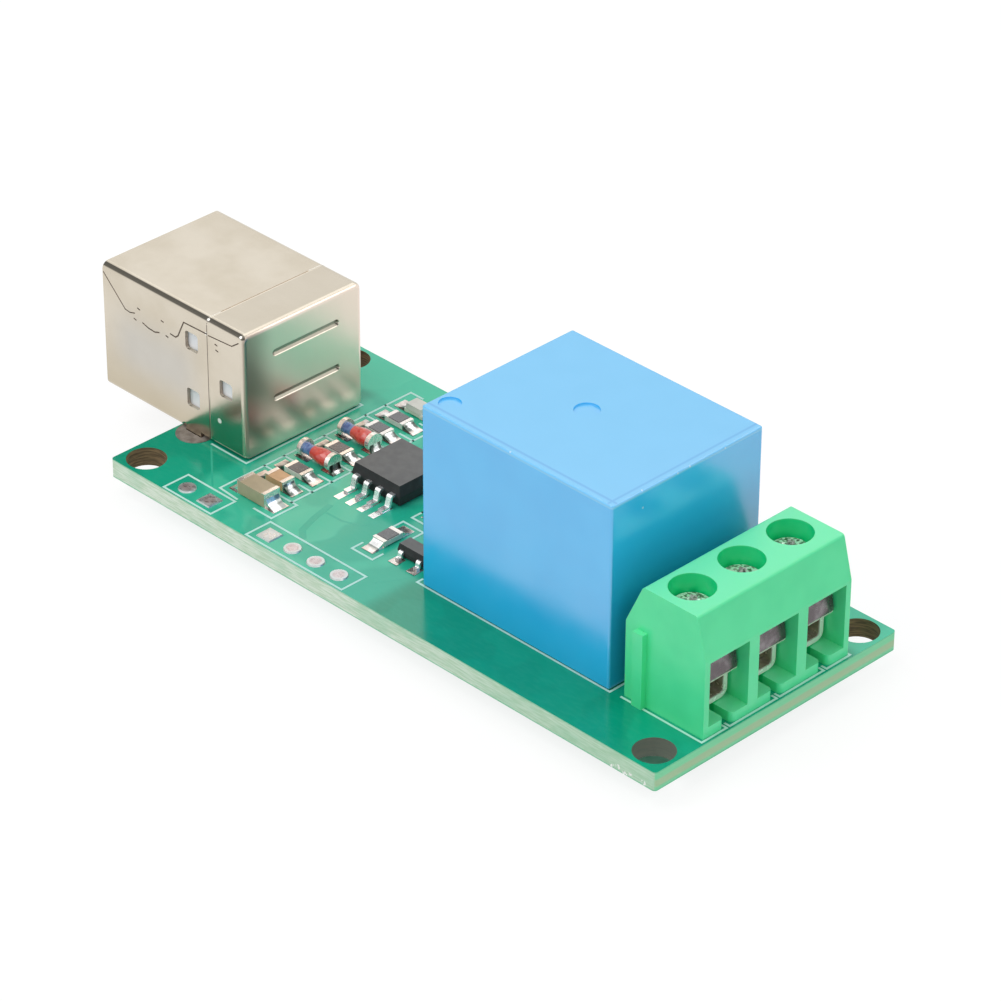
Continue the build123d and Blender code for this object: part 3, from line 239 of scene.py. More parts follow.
def board_paint():
    """Glossy green solder mask over copper, and bare laminate at the edges and in the holes."""
    paint = Paint("board", IOR=1.58)
    up = paint.facing["Z"]
    flat = paint.spread(paint.math("ABSOLUTE", up), 0.6, 0.8)
    # Solder mask: lighter where a copper pour lies under it
    copper = paint.spread(paint.noise(5.5, 1.5, shift=1.3), 0.44, 0.5)
    mask = paint.blend(copper, rgb(6, 156, 124), rgb(10, 168, 134))
    cloud = paint.spread(paint.noise(12, 2), 0.4, 0.7, 0, 0.25)
    mask = paint.blend(cloud, mask, rgb(22, 180, 146))
    # Copper pour and painted sheen: the mask is lighter round the small parts and along the far
    # side
    pour_and_sheen = paint.math("MAXIMUM", paint.between("X", -21.8, -0.3, 0.7), paint.above("Y", 8.4, 0.6))
    poured_and_sheen = paint.blend(copper, rgb(40, 184, 150), rgb(64, 198, 162))
    mask = paint.blend(paint.both(pour_and_sheen, 0.9), mask, poured_and_sheen)
    mask = paint.blend(paint.both(paint.above("Y", 8.4, 0.6), 0.6), mask, rgb(58, 212, 172))
    # Painted shade and reflection: the mask along the relay's near side is darker
    relay_shade = paint.both(paint.between("X", -0.3, 21, 1.2), paint.below("Y", -7.8, 0.5))
    mask = paint.blend(paint.both(relay_shade, 0.5), mask, rgb(6, 138, 98))
    weave = paint.noise(0.3, 2, stretch=(3, 1, 1))
    mask = paint.blend(paint.spread(weave, 0.4, 0.7, 0, 0.05), mask, rgb(90, 200, 165))
    # Cut edge of the laminate: pale glass fibre, green on the end face with a tan core
    fibre = paint.noise(0.13, 3, stretch=(12, 12, 1), rough=0.65)
    edge = paint.blend(paint.spread(fibre, 0.35, 0.65), rgb(196, 222, 194), rgb(230, 244, 228))
    patch = paint.spread(paint.noise(1.8, 2, stretch=(2, 2, 1)), 0.45, 0.7, 0, 0.4)
    edge = paint.blend(patch, edge, rgb(158, 212, 178))
    towards_end = paint.spread(paint.axes["X"], -10 * MM, 29 * MM, 0, 0.4)
    edge = paint.blend(towards_end, edge, rgb(126, 198, 152))
    end_face = paint.spread(paint.facing["X"], 0.5, 0.8, 0, 0.8)
    edge = paint.blend(end_face, edge, rgb(120, 226, 170))
    core = paint.both(paint.between("Z", 0.35, 0.95, 0.12), paint.both(end_face, 0.8))
    edge = paint.blend(core, edge, rgb(194, 200, 164))
    rim = paint.without(paint.between("Z", 0.1, DECK - 0.1, 0.04))
    edge = paint.blend(paint.both(rim, 0.6), edge, rgb(92, 196, 152))
    # Chipped glass near the front corner
    chips = paint.spots([(x, -BOARD_SIDE, z) for x, z in (
        (24.9, 0.1), (25.4, 0.35), (26.1, 0.15), (26.6, 0.3), (27.9, 0.25))], 0.28)
    chipped = paint.both(chips, paint.spread(paint.noise(0.25, 2, shift=9.0), 0.45, 0.55))
    edge = paint.blend(chipped, edge, rgb(246, 250, 244))
    # Hole walls are bare brown laminate
    inside_x, inside_y = (
        paint.math("LESS_THAN", paint.math("ABSOLUTE", paint.axes[axis]), (side - 0.15) * MM)
        for axis, side in (("X", BOARD_END), ("Y", BOARD_SIDE)))
    wall = paint.blend(paint.spread(fibre, 0.35, 0.65), rgb(84, 70, 44), rgb(140, 118, 82))
    # Painted shade: the wall of the hole at the front corner is greyer
    shaded = paint.below("Y", 0, 1)
    shaded = paint.both(shaded, paint.above("X", 20, 1))
    wall = paint.blend(paint.both(shaded, 0.85), wall, rgb(106, 118, 108))
    edge = paint.blend(paint.both(inside_x, inside_y), edge, wall)
    paint.colour(paint.blend(flat, edge, mask))
    paint.roughness(paint.spread(flat, 0, 1, 0.75, 0.17))
    paint.bump(paint.both(copper, flat), 0.012, 0.6)
    paint.bump(paint.both(weave, flat), 0.002, 0.5)
    paint.bump(paint.both(fibre, paint.without(flat)), 0.03, 0.7)
    return paint


def shell_paint():
    """Satin nickel plate with faint rolled streaks and a warm cast."""
    paint = Paint("shell")
    streak = paint.noise(0.4, 4, stretch=(16, 1, 16), rough=0.6)
    cloud = paint.noise(4.5, 3, shift=2.0)
    base = paint.mottle(cloud, rgb(208, 198, 180), rgb(218, 209, 193))
    base = paint.blend(paint.spread(streak, 0.45, 0.7, 0, 0.05), base, rgb(186, 176, 158))
    # Painted light: the rear cover's rear face is paler, with painted shade greying it at its near
    # edge
    towards_back = paint.spread(paint.facing["X"], 0.4, 0.8)
    base = paint.blend(paint.both(towards_back, 0.8), base, rgb(240, 223, 209))
    near_edge = paint.both(towards_back, paint.below("Y", -3.7, 1.5))
    base = paint.blend(paint.both(near_edge, 0.8), base, rgb(158, 146, 132))
    # The top behind the seam is a little darker
    behind_seam = paint.both(paint.above("X", USB_SEAM, 0.1),
                             paint.spread(paint.facing["Z"], 0.7, 0.95))
    base = paint.blend(paint.both(behind_seam, 0.6), base, rgb(200, 191, 175))
    # Near side: a neutral patch in the middle, warmer towards the bottom
    near_side = paint.spread(paint.facing["Y"], -0.8, -0.5, 1, 0)
    neutral = paint.both(paint.between("Z", 4, 9, 2.0), paint.between("X", -36, -27, 2.0))
    base = paint.blend(paint.both(paint.both(near_side, neutral), 0.55), base, rgb(190, 190, 188))
    low = paint.below("Z", 4.2, 2.2)
    base = paint.blend(paint.both(paint.both(near_side, low), 0.7), base, rgb(190, 178, 154))
    # Shade in the two pressed ribs of the rear cover
    pressed = paint.both(paint.both(paint.between("X", USB_REAR - 0.35, USB_REAR - 0.05, 0.02),
                                    paint.between("Y", USB_MIDDLE - 4, USB_MIDDLE + 4.4)),
                         paint.between("Z", 5.5, 10.8))
    base = paint.blend(paint.both(pressed, 0.75), base, rgb(106, 110, 96))
    # Painted reflection: the long folded edge of the near side is dark
    aslant = paint.math("MULTIPLY", paint.facing["Y"], -1.0)
    folded = paint.both(paint.spread(aslant, 0.3, 0.42), paint.spread(aslant, 0.78, 0.9, 1, 0))
    folded = paint.both(folded, paint.spread(paint.facing["Z"], 0.3, 0.45))
    base = paint.blend(paint.both(folded, 0.92), base, rgb(66, 64, 58))
    # Painted highlights: bright points where the seam and the joint meet the folded edges, and on
    # a small dimple
    points = paint.spots([(USB_SEAM, -5.5, 12.55), (USB_SEAM - 0.1, USB_NEAR, 11.36),
                          (-21.6, -5.5, 12.5)], 0.17)
    dimple = paint.spots([(-24.13, USB_NEAR, 4.13)], 0.28)
    base = paint.blend(paint.math("MAXIMUM", points, dimple), base, rgb(252, 250, 244))
    paint.colour(base)
    paint.set(paint.shader.inputs["Metallic"], paint.spread(dimple, 0, 1, 1, 0.2))
    rear = paint.spread(paint.facing["X"], 0.4, 0.8, 0, 0.12)
    paint.roughness(paint.math("ADD", rear, paint.spread(streak, 0.3, 0.7, 0.19, 0.22)))
    paint.bump(paint.noise(3.5, 1, shift=5.0), 0.015, 0.5)
    paint.bump(paint.noise(0.12, 2, shift=4.0), 0.0004, 0.5)
    return paint


def solder_paint():
    """Bright tin fillets, paler flat lands, and the dull round lands of the socket's tabs."""
    paint = Paint("solder")
    cloud = paint.noise(0.5, 3)
    bright = paint.mottle(cloud, rgb(232, 232, 232), rgb(254, 254, 252))
    land = paint.mottle(cloud, rgb(206, 192, 184), rgb(236, 228, 222))
    level = paint.spread(paint.facing["Z"], 0.96, 0.99)
    # Painted reflection: each fillet is dark towards its two sides
    along = paint.math("SUBTRACT", paint.axes["Y"], (ROW_Y - 5.5 * ROW_PITCH) * MM)
    cell = paint.math("MODULO", along, ROW_PITCH * MM)
    aside = paint.math("ABSOLUTE", paint.math("SUBTRACT", cell, ROW_PITCH / 2 * MM))
    ragged = paint.math("ADD", aside, paint.uneven(0.5, 11.0, -0.12 * MM, 0.12 * MM))
    flank = paint.both(paint.spread(ragged, 0.1 * MM, 0.34 * MM),
                       paint.both(paint.between("X", -19.5, -14.6), paint.above("Y", -6.9)))
    bright = paint.blend(flank, bright, rgb(92, 100, 94))
    # Painted reflection: the wide capacitor's fillets are darkened on one side, so they are bright
    # at one side only
    wide = paint.both(paint.spread(paint.axes["Y"], -8.35 * MM, -8.05 * MM),
                      paint.below("Y", -6.9))
    bright = paint.blend(paint.both(wide, 0.8), bright, rgb(116, 124, 116))
    # Lands under the controller's leads are fully tinned
    tinned = paint.between("X", -14.3, -7.0)
    land = paint.blend(tinned, land, rgb(250, 250, 248))
    base = paint.blend(level, bright, land)
    tab = paint.below("X", -25.2)
    dull = paint.mottle(cloud, rgb(128, 120, 114), rgb(164, 156, 150))
    paint.colour(paint.blend(tab, base, dull))
    paint.set(paint.shader.inputs["Metallic"], paint.spread(tab, 0, 1, 0.9, 0.35))
    rough = paint.uneven(0.4, 2.0, 0.12, 0.25)
    paint.roughness(paint.math("ADD", rough, paint.both(tab, 0.25)))
    paint.bump(paint.noise(0.5, 2, shift=6.0), 0.03, 0.5)
    return paint


def header_paint():
    """Flat tin in the header holes: a rosy middle inside a brighter ring."""
    paint = Paint("header_solder", Metallic=0.85)
    cloud = paint.noise(0.4, 3)
    # Distance from the middle of the nearest hole, in either header
    supply = paint.math("LESS_THAN", paint.axes["X"], -16 * MM)
    first = paint.math("MULTIPLY_ADD", supply, (SUPPLY_HEADER_X - HEADER_X) * MM, HEADER_X * MM)
    along = paint.math("SUBTRACT", paint.axes["X"], first)
    along = paint.math("ADD", along, HEADER_PITCH / 2 * MM)
    along = paint.math("MODULO", along, HEADER_PITCH * MM)
    along = paint.math("SUBTRACT", along, HEADER_PITCH / 2 * MM)
    across = paint.math("ADD", paint.axes["Y"], -HEADER_Y * MM)
    ring = paint.spread(paint.reach(along, across), 0.4 * MM, 0.55 * MM)
    middle = paint.mottle(cloud, rgb(182, 170, 170), rgb(206, 198, 198))
    # The square first pad is whiter
    square = paint.between("X", -13.4, -11.2)
    middle = paint.blend(paint.both(square, 0.7), middle, rgb(224, 230, 230))
    paint.colour(paint.blend(ring, middle, rgb(202, 208, 208)))
    paint.roughness(paint.uneven(0.3, 2.0, 0.25, 0.4))
    paint.bump(paint.noise(0.25, 3, shift=6.0), 0.015, 0.6)
    return paint


def glass_paint():
    """Painted glass diodes: a blue band towards the socket and a red body."""
    paint = Paint("diode_glass", Coat_Weight=1.0, Coat_Roughness=0.04)
    cloud = paint.noise(0.4, 2)
    red = paint.mottle(cloud, rgb(206, 48, 40), rgb(226, 74, 58))
    blue = paint.mottle(cloud, rgb(56, 86, 150), rgb(98, 136, 190))
    paint.colour(paint.blend(paint.above("X", ROW_X - 0.55, 0.05), blue, red))
    paint.roughness(paint.spread(cloud, 0.3, 0.7, 0.12, 0.22))
    paint.bump(paint.noise(0.5, 1, shift=3.0), 0.003, 0.3)
    return paint


def relay_paint():
    """Sky-blue moulded cover with soft gloss."""
    paint = Paint("relay_blue", Specular_IOR_Level=0.9, IOR=1.8)
    cloud = paint.noise(6, 2)
    base = paint.mottle(cloud, rgb(38, 184, 250), rgb(44, 190, 254))
    # Painted sheen: the top is lighter, and painted shade makes the face towards the terminal
    # deeper low down
    up = paint.spread(paint.facing["Z"], 0.6, 0.95)
    base = paint.blend(up, base, rgb(90, 195, 248))
    towards_terminal = paint.spread(paint.facing["X"], 0.6, 0.9)
    low = paint.below("Z", 12.5, 3.0)
    base = paint.blend(paint.both(paint.both(towards_terminal, low), 0.8), base, rgb(32, 160, 222))
    # Painted shade and highlight of a moulded lip: a deeper line along two sides of the top, and a
    # lighter one just below it
    on_top = paint.math("MAXIMUM", paint.between("Y", RELAY_NEAR + 0.42, RELAY_NEAR + 0.62, 0.1),
                        paint.between("X", RELAY_FRONT - 0.6, RELAY_FRONT - 0.42, 0.1))
    base = paint.blend(paint.both(paint.both(on_top, up), 0.8), base, rgb(56, 164, 232))
    below = paint.both(paint.between("Z", RELAY_TOP - 0.3, RELAY_TOP - 0.12, 0.06),
                       paint.without(up))
    base = paint.blend(paint.both(below, 0.45), base, rgb(140, 216, 250))
    # Pale specks along the top edges
    specks = paint.spots([(19.66, 3.72, 17.0), (19.66, 0.08, 17.02), (19.66, -1.16, 17.0),
                          (19.6, -4.74, 17.1), (19.72, -4.69, 15.72), (9.57, -7.7, 17.1)], 0.11)
    paint.colour(paint.blend(paint.both(specks, 0.5), base, rgb(222, 244, 252)))
    paint.roughness(paint.uneven(2.2, 2.0, 0.2, 0.26))
    paint.bump(paint.noise(0.14, 3, shift=5.0), 0.002, 0.5)
    paint.bump(paint.noise(7.0, 1, shift=8.0), 0.03, 0.3)
    return paint


def terminal_paint():
    """Green moulded housing, deeper in colour down the screw wells."""
    paint = Paint("terminal_green", Subsurface_Weight=0.12, Subsurface_Scale=0.001, IOR=1.6)
    cloud = paint.noise(3, 2)
    base = paint.mottle(cloud, rgb(76, 231, 160), rgb(84, 237, 166))
    # Painted sheen: the top is slightly lighter; the screw wells are deeper in colour
    base = paint.blend(paint.spread(paint.facing["Z"], 0.7, 0.95), base, rgb(110, 242, 178))
    across = paint.math("SUBTRACT", paint.axes["X"], SCREW_X * MM)
    along = paint.math("ADD", paint.axes["Y"], (3.5 * TERMINAL_PITCH - TERMINAL_MIDDLE) * MM)
    along = paint.math("MODULO", along, TERMINAL_PITCH * MM)
    along = paint.math("SUBTRACT", along, TERMINAL_PITCH / 2 * MM)
    well = paint.both(paint.spread(paint.reach(across, along), 2.05 * MM, 2.15 * MM, 1, 0),
                      paint.below("Z", 11.5, 0.05))
    paint.colour(paint.blend(well, base, rgb(16, 228, 146)))
    paint.roughness(paint.uneven(1.5, 2.0, 0.28, 0.36))
    paint.bump(paint.noise(0.35, 2, shift=5.0), 0.0006, 0.4)
    return paint


def cage_paint():
    """Plated clamp cages, brighter along their front rims."""
    paint = Paint("cage_steel")
    cloud = paint.noise(0.6, 3)
    inner = paint.mottle(cloud, rgb(186, 174, 152), rgb(226, 216, 196))
    rim = paint.above("X", 26.68, 0.04)
    paint.colour(paint.blend(rim, inner, rgb(254, 252, 248)))
    paint.set(paint.shader.inputs["Metallic"], paint.spread(rim, 0, 1, 0.6, 0.3))
    paint.roughness(paint.uneven(0.5, 2.0, 0.16, 0.28))
    paint.bump(paint.noise(0.3, 2, shift=6.0), 0.003)
    return paint


def bar_paint():
    """Dark tinned contact plates with a bright lower lip."""
    paint = Paint("bar_metal")
    cloud = paint.noise(0.9, 2)
    face = paint.blend(paint.spread(cloud, 0.4, 0.75), rgb(104, 97, 100), rgb(138, 132, 135))
    lip = paint.both(paint.above("X", 26.5), paint.below("Z", BAR_LOW + 0.4, 0.08))
    paint.colour(paint.blend(lip, face, rgb(244, 238, 230)))
    paint.set(paint.shader.inputs["Metallic"], paint.spread(lip, 0, 1, 0.85, 0.25))
    paint.roughness(paint.uneven(0.5, 2.0, 0.2, 0.3))
    paint.bump(paint.noise(0.5, 2, shift=6.0), 0.004)
    return paint


def screw_paint():
    """Bright plated screws with tool-marked heads that carry painted glints."""
    paint = Paint("screw_nickel", Metallic=0.6)
    cloud = paint.noise(0.5, 3)
    # Painted glints: white specks on the heads
    sparkle = paint.spread(paint.noise(0.3, 3, shift=4.0), 0.44, 0.54)
    head_mottle = paint.blend(paint.spread(cloud, 0.35, 0.65), rgb(104, 112, 100), rgb(160, 166, 154))
    paint.colour(paint.blend(sparkle, head_mottle, rgb(255, 255, 255)))
    paint.roughness(paint.uneven(0.4, 2.0, 0.12, 0.26))
    paint.bump(paint.noise(0.45, 2, shift=6.0), 0.16, 1.0)
    return paint


def chip_paint():
    """Black epoxy, glossier on the flat top than on the tapered sides."""
    paint = Paint("chip_black", IOR=1.6)
    cloud = paint.noise(0.8, 3)
    up = paint.spread(paint.facing["Z"], 0.7, 0.95)
    # Painted sheen: the flat top is a lighter grey than the sides
    side = paint.mottle(cloud, rgb(20, 20, 22), rgb(28, 28, 30))
    top = paint.mottle(cloud, rgb(76, 76, 75), rgb(88, 88, 86))
    paint.colour(paint.blend(up, side, top))
    dull = paint.spread(up, 0, 1, 0.4, 0)
    paint.roughness(paint.math("ADD", dull, paint.uneven(0.6, 3.0, 0.34, 0.46)))
    paint.bump(paint.noise(0.07, 3, shift=7.0), 0.005)
    return paint


def winding_paint():
    """Enamelled copper wire, turn by turn up the coil."""
    paint = Paint("winding", Metallic=0.9, Coat_Weight=0.6)
    turns = paint.math("SINE", paint.math("MULTIPLY", paint.axes["Z"], 2 * math.pi / (0.16 * MM)))
    paint.colour(paint.blend(paint.spread(turns, -1, 1), rgb(120, 52, 26), rgb(206, 112, 62)))
    paint.roughness(paint.spread(paint.noise(0.5, 2), 0.3, 0.7, 0.22, 0.34))
    paint.bump(turns, 0.03, 0.8)
    return paint


paints = {
    "board": board_paint(),
    "solder": solder_paint(),
    "header_solder": header_paint(),
    "shell": shell_paint(),
    "insulator": simple("insulator", rgb(240, 243, 247), 0.02, 2.0, (0.35, 0.45), 0.15, 0.003),
    "contact_metal": simple("contact_metal", rgb(226, 186, 104), 0.05, 0.8, (0.2, 0.32),
                            Metallic=1.0),
    "ceramic_white": simple("ceramic_white", rgb(222, 224, 216), 0.04, 0.5, (0.45, 0.6), 0.06,
                            0.003),
    "resistor_coat": simple("resistor_coat", rgb(56, 56, 60), 0.2, 0.4, (0.25, 0.4), 0.08, 0.004,
                            Specular_IOR_Level=1.0, IOR=1.7),
    "capacitor_orange": simple("capacitor_orange", rgb(213, 172, 131), 0.06, 0.5, (0.4, 0.55),
                               0.06, 0.004),
    "capacitor_tan": simple("capacitor_tan", rgb(173, 157, 127), 0.06, 0.6, (0.3, 0.45), 0.06,
                            0.004, Specular_IOR_Level=1.0),
    "end_metal": simple("end_metal", rgb(238, 232, 226), 0.05, 0.4, (0.2, 0.3), 0.3, 0.004,
                        Metallic=0.9),
    "diode_glass": glass_paint(),
    "lamp_base": simple("lamp_base", rgb(228, 226, 210), 0.04, 0.5, (0.4, 0.55), 0.08, 0.004),
    "lamp_lens": simple("lamp_lens", rgb(240, 240, 230), 0.03, 0.6, (0.12, 0.22), 0.2, 0.004,
                        Transmission_Weight=0.25, IOR=1.5),
    "chip_black": chip_paint(),
    "lead_metal": simple("lead_metal", rgb(254, 254, 254), 0.04, 0.5, (0.16, 0.28), 0.4, 0.02,
                         Metallic=0.8),
    "relay_blue": relay_paint(),
    "relay_base": simple("relay_base", rgb(40, 60, 92), 0.06, 1.0, (0.45, 0.6), 0.1, 0.004),
    "bobbin": simple("bobbin", rgb(220, 222, 214), 0.03, 1.5, (0.4, 0.5), 0.1, 0.004),
    "winding": winding_paint(),
    "relay_steel": simple("relay_steel", rgb(178, 178, 176), 0.06, 1.4, (0.28, 0.42), 0.1, 0.003,
                          Metallic=1.0),
    "terminal_green": terminal_paint(),
    "screw_nickel": screw_paint(),
    "cage_steel": cage_paint(),
    "bar_metal": bar_paint(),
}
for part in frame["record"]["subparts"]:
    surface = nodes[part["node"]].data
    surface.materials.clear()
    surface.materials.append(paints[part["material_slot"]].material)


def mesh_piece(name, mesh, body, material):
    """Object that rides on a body of the part."""
    piece = bpy.data.objects.new(name, mesh)
    bpy.context.scene.collection.objects.link(piece)
    mesh.materials.append(material)
    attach(piece, body)
    return piece


def on_board(along, across, height):
    """Point over the board's deck, from X, Y and height in millimetres."""
    return (along * MM, across * MM, (DECK + DECK_GAP + height) * MM)


def on_socket_side(along, up, height):
    """Point off the socket's near side, from X, Z and height in millimetres."""
    return (along * MM, (USB_NEAR - USB_GAP - height) * MM, up * MM)


def ribbon(mesh, points, width, thickness, seat):
    """Flat line of some thickness through points on a face of the part, with mitred corners."""
    points = [Vector(point) for point in points]
    closed = points[0] == points[-1]
    if closed:
        points = points[:-1]
    count = len(points)
    rims = []
    for index, point in enumerate(points):
        ahead = points[(index + 1) % count] - point if closed or index < count - 1 else None
        behind = point - points[index - 1] if closed or index > 0 else None
        ahead = (ahead or behind).normalized()
        behind = (behind or ahead).normalized()
        middle = (ahead + behind).normalized()
        side = Vector((-middle.y, middle.x)) * (width / 2 / max(0.3, middle.dot(ahead)))
        if not closed and index == 0:
            point = point - ahead * width / 2
        if not closed and index == count - 1:
            point = point + behind * width / 2
        rims.append([mesh.verts.new(seat(*spot, height))
                     for height in (0, thickness) for spot in (point + side, point - side)])
    pairs = list(zip(rims, rims[1:] + rims[:1])) if closed else list(zip(rims, rims[1:]))
    for (a, b, c, d), (e, f, g, h) in pairs:
        mesh.faces.new((d, c, g, h))
        mesh.faces.new((c, a, e, g))
        mesh.faces.new((b, d, h, f))
    if not closed:
        a, b, c, d = rims[0]
        mesh.faces.new((a, c, d, b))
        a, b, c, d = rims[-1]
        mesh.faces.new((c, a, b, d))


def finished(name, mesh, body, material):
    """Piece from a mesh that is complete, with its faces turned outward."""
    bmesh.ops.recalc_face_normals(mesh, faces=mesh.faces)
    data = bpy.data.meshes.new(name)
    mesh.to_mesh(data)
    mesh.free()
    return mesh_piece(name, data, body, material)


def silkscreen():
    """White legend lines round each part, as thin printed ink."""
    mesh = bmesh.new()

    def line(*points):
        ribbon(mesh, points, width=0.19, thickness=0.012, seat=on_board)

    for low, high in ((-23.02, -17.66), (-13.67, -3.16)):
        line((low, -12.52), (high, -12.52), (high, -10.02), (low, -10.02), (low, -12.52))
    # Socket outline on the board, open where the socket covers it
    line((-25.08, -5.75), (-21.15, -5.75), (-21.22, 6.56), (-24.6, 6.56))
    # Row of small parts: back rail, near and far corners, front rail and the stubs between cells
    line((-17.84, -9.69), (-19.92, -9.54), (-19.92, 10.6), (-18.6, 10.6))
    line((-15.91, -9.65), (-13.99, -9.65), (-13.99, -7.02), (-14.57, -7.02), (-14.57, 10.2),
         (-15.6, 10.2))
    for y in (-4.94, -2.90, -0.77, 1.31, 3.38, 5.70, 7.85):
        line((-19.92, y), (-18.72, y))
    for y in (-7.02, -4.94, -2.90, -0.77, 1.31, 3.38, 5.70, 7.85):
        line((-16.02, y), (-14.57, y))
    # Two cups round the resistor by the relay
    line((-6.72, -7.07), (-6.72, -8.12), (-4.52, -8.12), (-4.52, -7.07))
    line((-6.72, -3.87), (-6.72, -2.82), (-4.52, -2.82), (-4.52, -3.87))
    # Diode by the relay
    line((-6.64, -0.9), (-6.64, -1.98), (-5.39, -1.98))
    line((-6.64, -0.9), (-6.64, 0.18), (-5.39, 0.18))
    # Relay
    line((0.0, -7.3), (0.0, -7.82), (19.86, -7.82), (19.86, 7.9), (0.0, 7.9), (0.0, 7.2))
    # Screw terminal, open in front of each way in
    line((20.9, -7.69), (28.72, -7.69), (28.72, -5.12), (28.3, -5.12))
    line((28.3, -4.8), (28.72, -4.8), (28.72, 0.1), (28.3, 0.1))
    line((28.3, 0.42), (28.72, 0.42), (28.72, 5.1), (28.3, 5.1))
    line((28.3, 5.42), (28.72, 5.42), (28.72, 7.95), (20.9, 7.95))
    ink = simple("legend_ink", rgb(192, 234, 224), 0.03, 0.8, (0.45, 0.6), 0.1, 0.003).material
    return finished("legend_lines", mesh, "board", ink)


def lanes():
    """Faint darker lanes of bare laminate between the copper, seen through the solder mask."""
    mesh = bmesh.new()

    def lane(width, *points):
        ribbon(mesh, points, width, thickness=0.002,
               seat=lambda along, across, height: on_board(along, across, height - 0.002))

    lane(0.12, (-2.17, -10.13), (-1.4, -8.92), (-0.84, -7.6))
    lane(0.22, (-11.55, -6.12), (-10.01, -6.08), (-8.53, -5.5), (-8.01, -4.47))
    lane(0.55, (-12.22, -5.39), (-11.78, -7.3), (-11.19, -9.05), (-10.41, -9.7))
    lane(0.18, (-7.91, -1.27), (-7.3, -2.3), (-7.0, -4.6))
    lane(0.15, (-24.85, -6.05), (-22.29, -8.26), (-20.6, -9.7))
    mask = simple("mask_lane", rgb(40, 182, 150), 0.03, 1.5, (0.16, 0.22), 0.3, 0.001, IOR=1.58)
    return finished("mask_lanes", mesh, "board", mask.material)


def hoop_points():
    """Outline of the socket's section from near foot over the top to far foot, as Y and Z."""
    foot = USB_BOTTOM + 0.4
    points = [(USB_NEAR, foot)]
    for side, start in ((-1, 180), (1, 90)):
        bend_y, bend_z = USB_MIDDLE + side * (USB_HALF - USB_CORNER), USB_TOP - USB_CORNER
        turns = [math.radians(start - turn) for turn in range(0, 91, 15)]
        points += [(bend_y + USB_CORNER * math.cos(turn), bend_z + USB_CORNER * math.sin(turn))
                   for turn in turns]
    points.append((USB_MIDDLE + USB_HALF, foot))
    return points


def hoop(mesh, sections):
    """Band round the socket, through pairs of X from the seam and height off the sheet."""
    rims = []
    for y, z in hoop_points():
        sideways = max(-1, min(1, (y - USB_MIDDLE) / USB_HALF))
        out = Vector((sideways, 1 if z > USB_TOP - USB_CORNER else 0))
        if abs(y - USB_MIDDLE) < USB_HALF - USB_CORNER:
            out.x = 0
        out.normalize()
        rims.append([mesh.verts.new(((USB_SEAM + along) * MM, (y + out.x * proud) * MM,
                                     (z + out.y * proud) * MM)) for along, proud in sections])
    for first, second in zip(rims, rims[1:]):
        for a, b, c, d in zip(first, first[1:], second, second[1:]):
            mesh.faces.new((a, b, d, c))


def socket_lines():
    """Interlocking joint of the folded shell on the near side, its punch marks and the seam."""
    mesh = bmesh.new()

    def line(width, *points):
        ribbon(mesh, points, width, thickness=0.004, seat=on_socket_side)

    line(0.1, (-37.36, 11.94), (-34.9, 9.61), (-34.35, 9.54), (-33.8, 9.7))
    line(0.12, (-32.84, 9.22), (-32.2, 9.03), (-31.44, 8.98), (-30.95, 9.15))
    line(0.12, (-29.56, 9.6), (-28.98, 9.56), (-28.69, 9.8), (-27.97, 11.3), (-25.94, 11.36),
         (-25.32, 11.37))
    line(0.1, (-25.2, 11.31), (-22.44, 11.49), (-21.68, 12.05))
    for x, z in ((-33.28, 10.28), (-33.76, 9.17), (-30.5, 10.33), (-30.01, 9.19), (-24.26, 10.84),
                 (-24.18, 10.35)):
        line(0.12, (x - 0.1, z + 0.02), (x + 0.1, z - 0.02))
    hoop(mesh, ((-0.045, 0.003), (0.02, 0.003)))
    gap = Paint("socket_gap", Metallic=0.6)
    cloud = gap.noise(0.5, 3)
    dark = gap.mottle(cloud, rgb(72, 62, 54), rgb(104, 88, 74))
    brown = gap.mottle(cloud, rgb(146, 120, 92), rgb(186, 158, 126))
    # Painted highlights: the top seam turns pale at its ends, by the bends
    ends = gap.without(gap.between("Y", -4.24, 4.84, 0.1))
    brown = gap.blend(ends, brown, rgb(240, 236, 226))
    gap.colour(gap.blend(gap.spread(gap.facing["Z"], 0.6, 0.9), dark, brown))
    gap.roughness(gap.uneven(0.4, 3.0, 0.4, 0.55))
    gap.bump(gap.noise(0.2, 3, shift=7.0), 0.003)
    return finished("socket_lines", mesh, "board", gap.material)


def seam_lip():
    """Turned edge of the rear cover along the seam."""
    mesh = bmesh.new()
    hoop(mesh, ((0.02, 0.001), (0.05, 0.016), (0.1, 0.016), (0.13, 0.001)))
    piece = finished("seam_lip", mesh, "board", paints["shell"].material)
    for face in piece.data.polygons:
        face.use_smooth = True
    return piece


lanes()
seam_lip()
silkscreen()
socket_lines()


def add_node(tree, kind, *values, operation=None, **named):
    """Output of a new node. Its first sockets take the values in order, and others by name."""
    made = tree.nodes.new(kind)
    if operation:
        made.operation = operation
    sockets = list(zip(made.inputs, values))
    sockets += [(made.inputs[name], value) for name, value in named.items()]
    for socket, value in sockets:
        if isinstance(value, bpy.types.NodeSocket):
            tree.links.new(value, socket)
        else:
            socket.default_value = value
    return made.outputs[0] if made.outputs else None


def emptied(owner):
    """Node tree of a material or world, without its first nodes."""
    owner.use_nodes = True
    owner.node_tree.nodes.clear()
    return owner.node_tree


def shown_rays(tree):
    """1 for rays seen straight, mirrored or through something clear, 0 for soft light."""
    rays = tree.nodes.new("ShaderNodeLightPath").outputs
    seen = add_node(tree, "ShaderNodeMath", rays["Is Camera Ray"], rays["Is Transmission Ray"],
                    operation="MAXIMUM")
    return add_node(tree, "ShaderNodeMath", seen, rays["Is Glossy Ray"], operation="MAXIMUM")


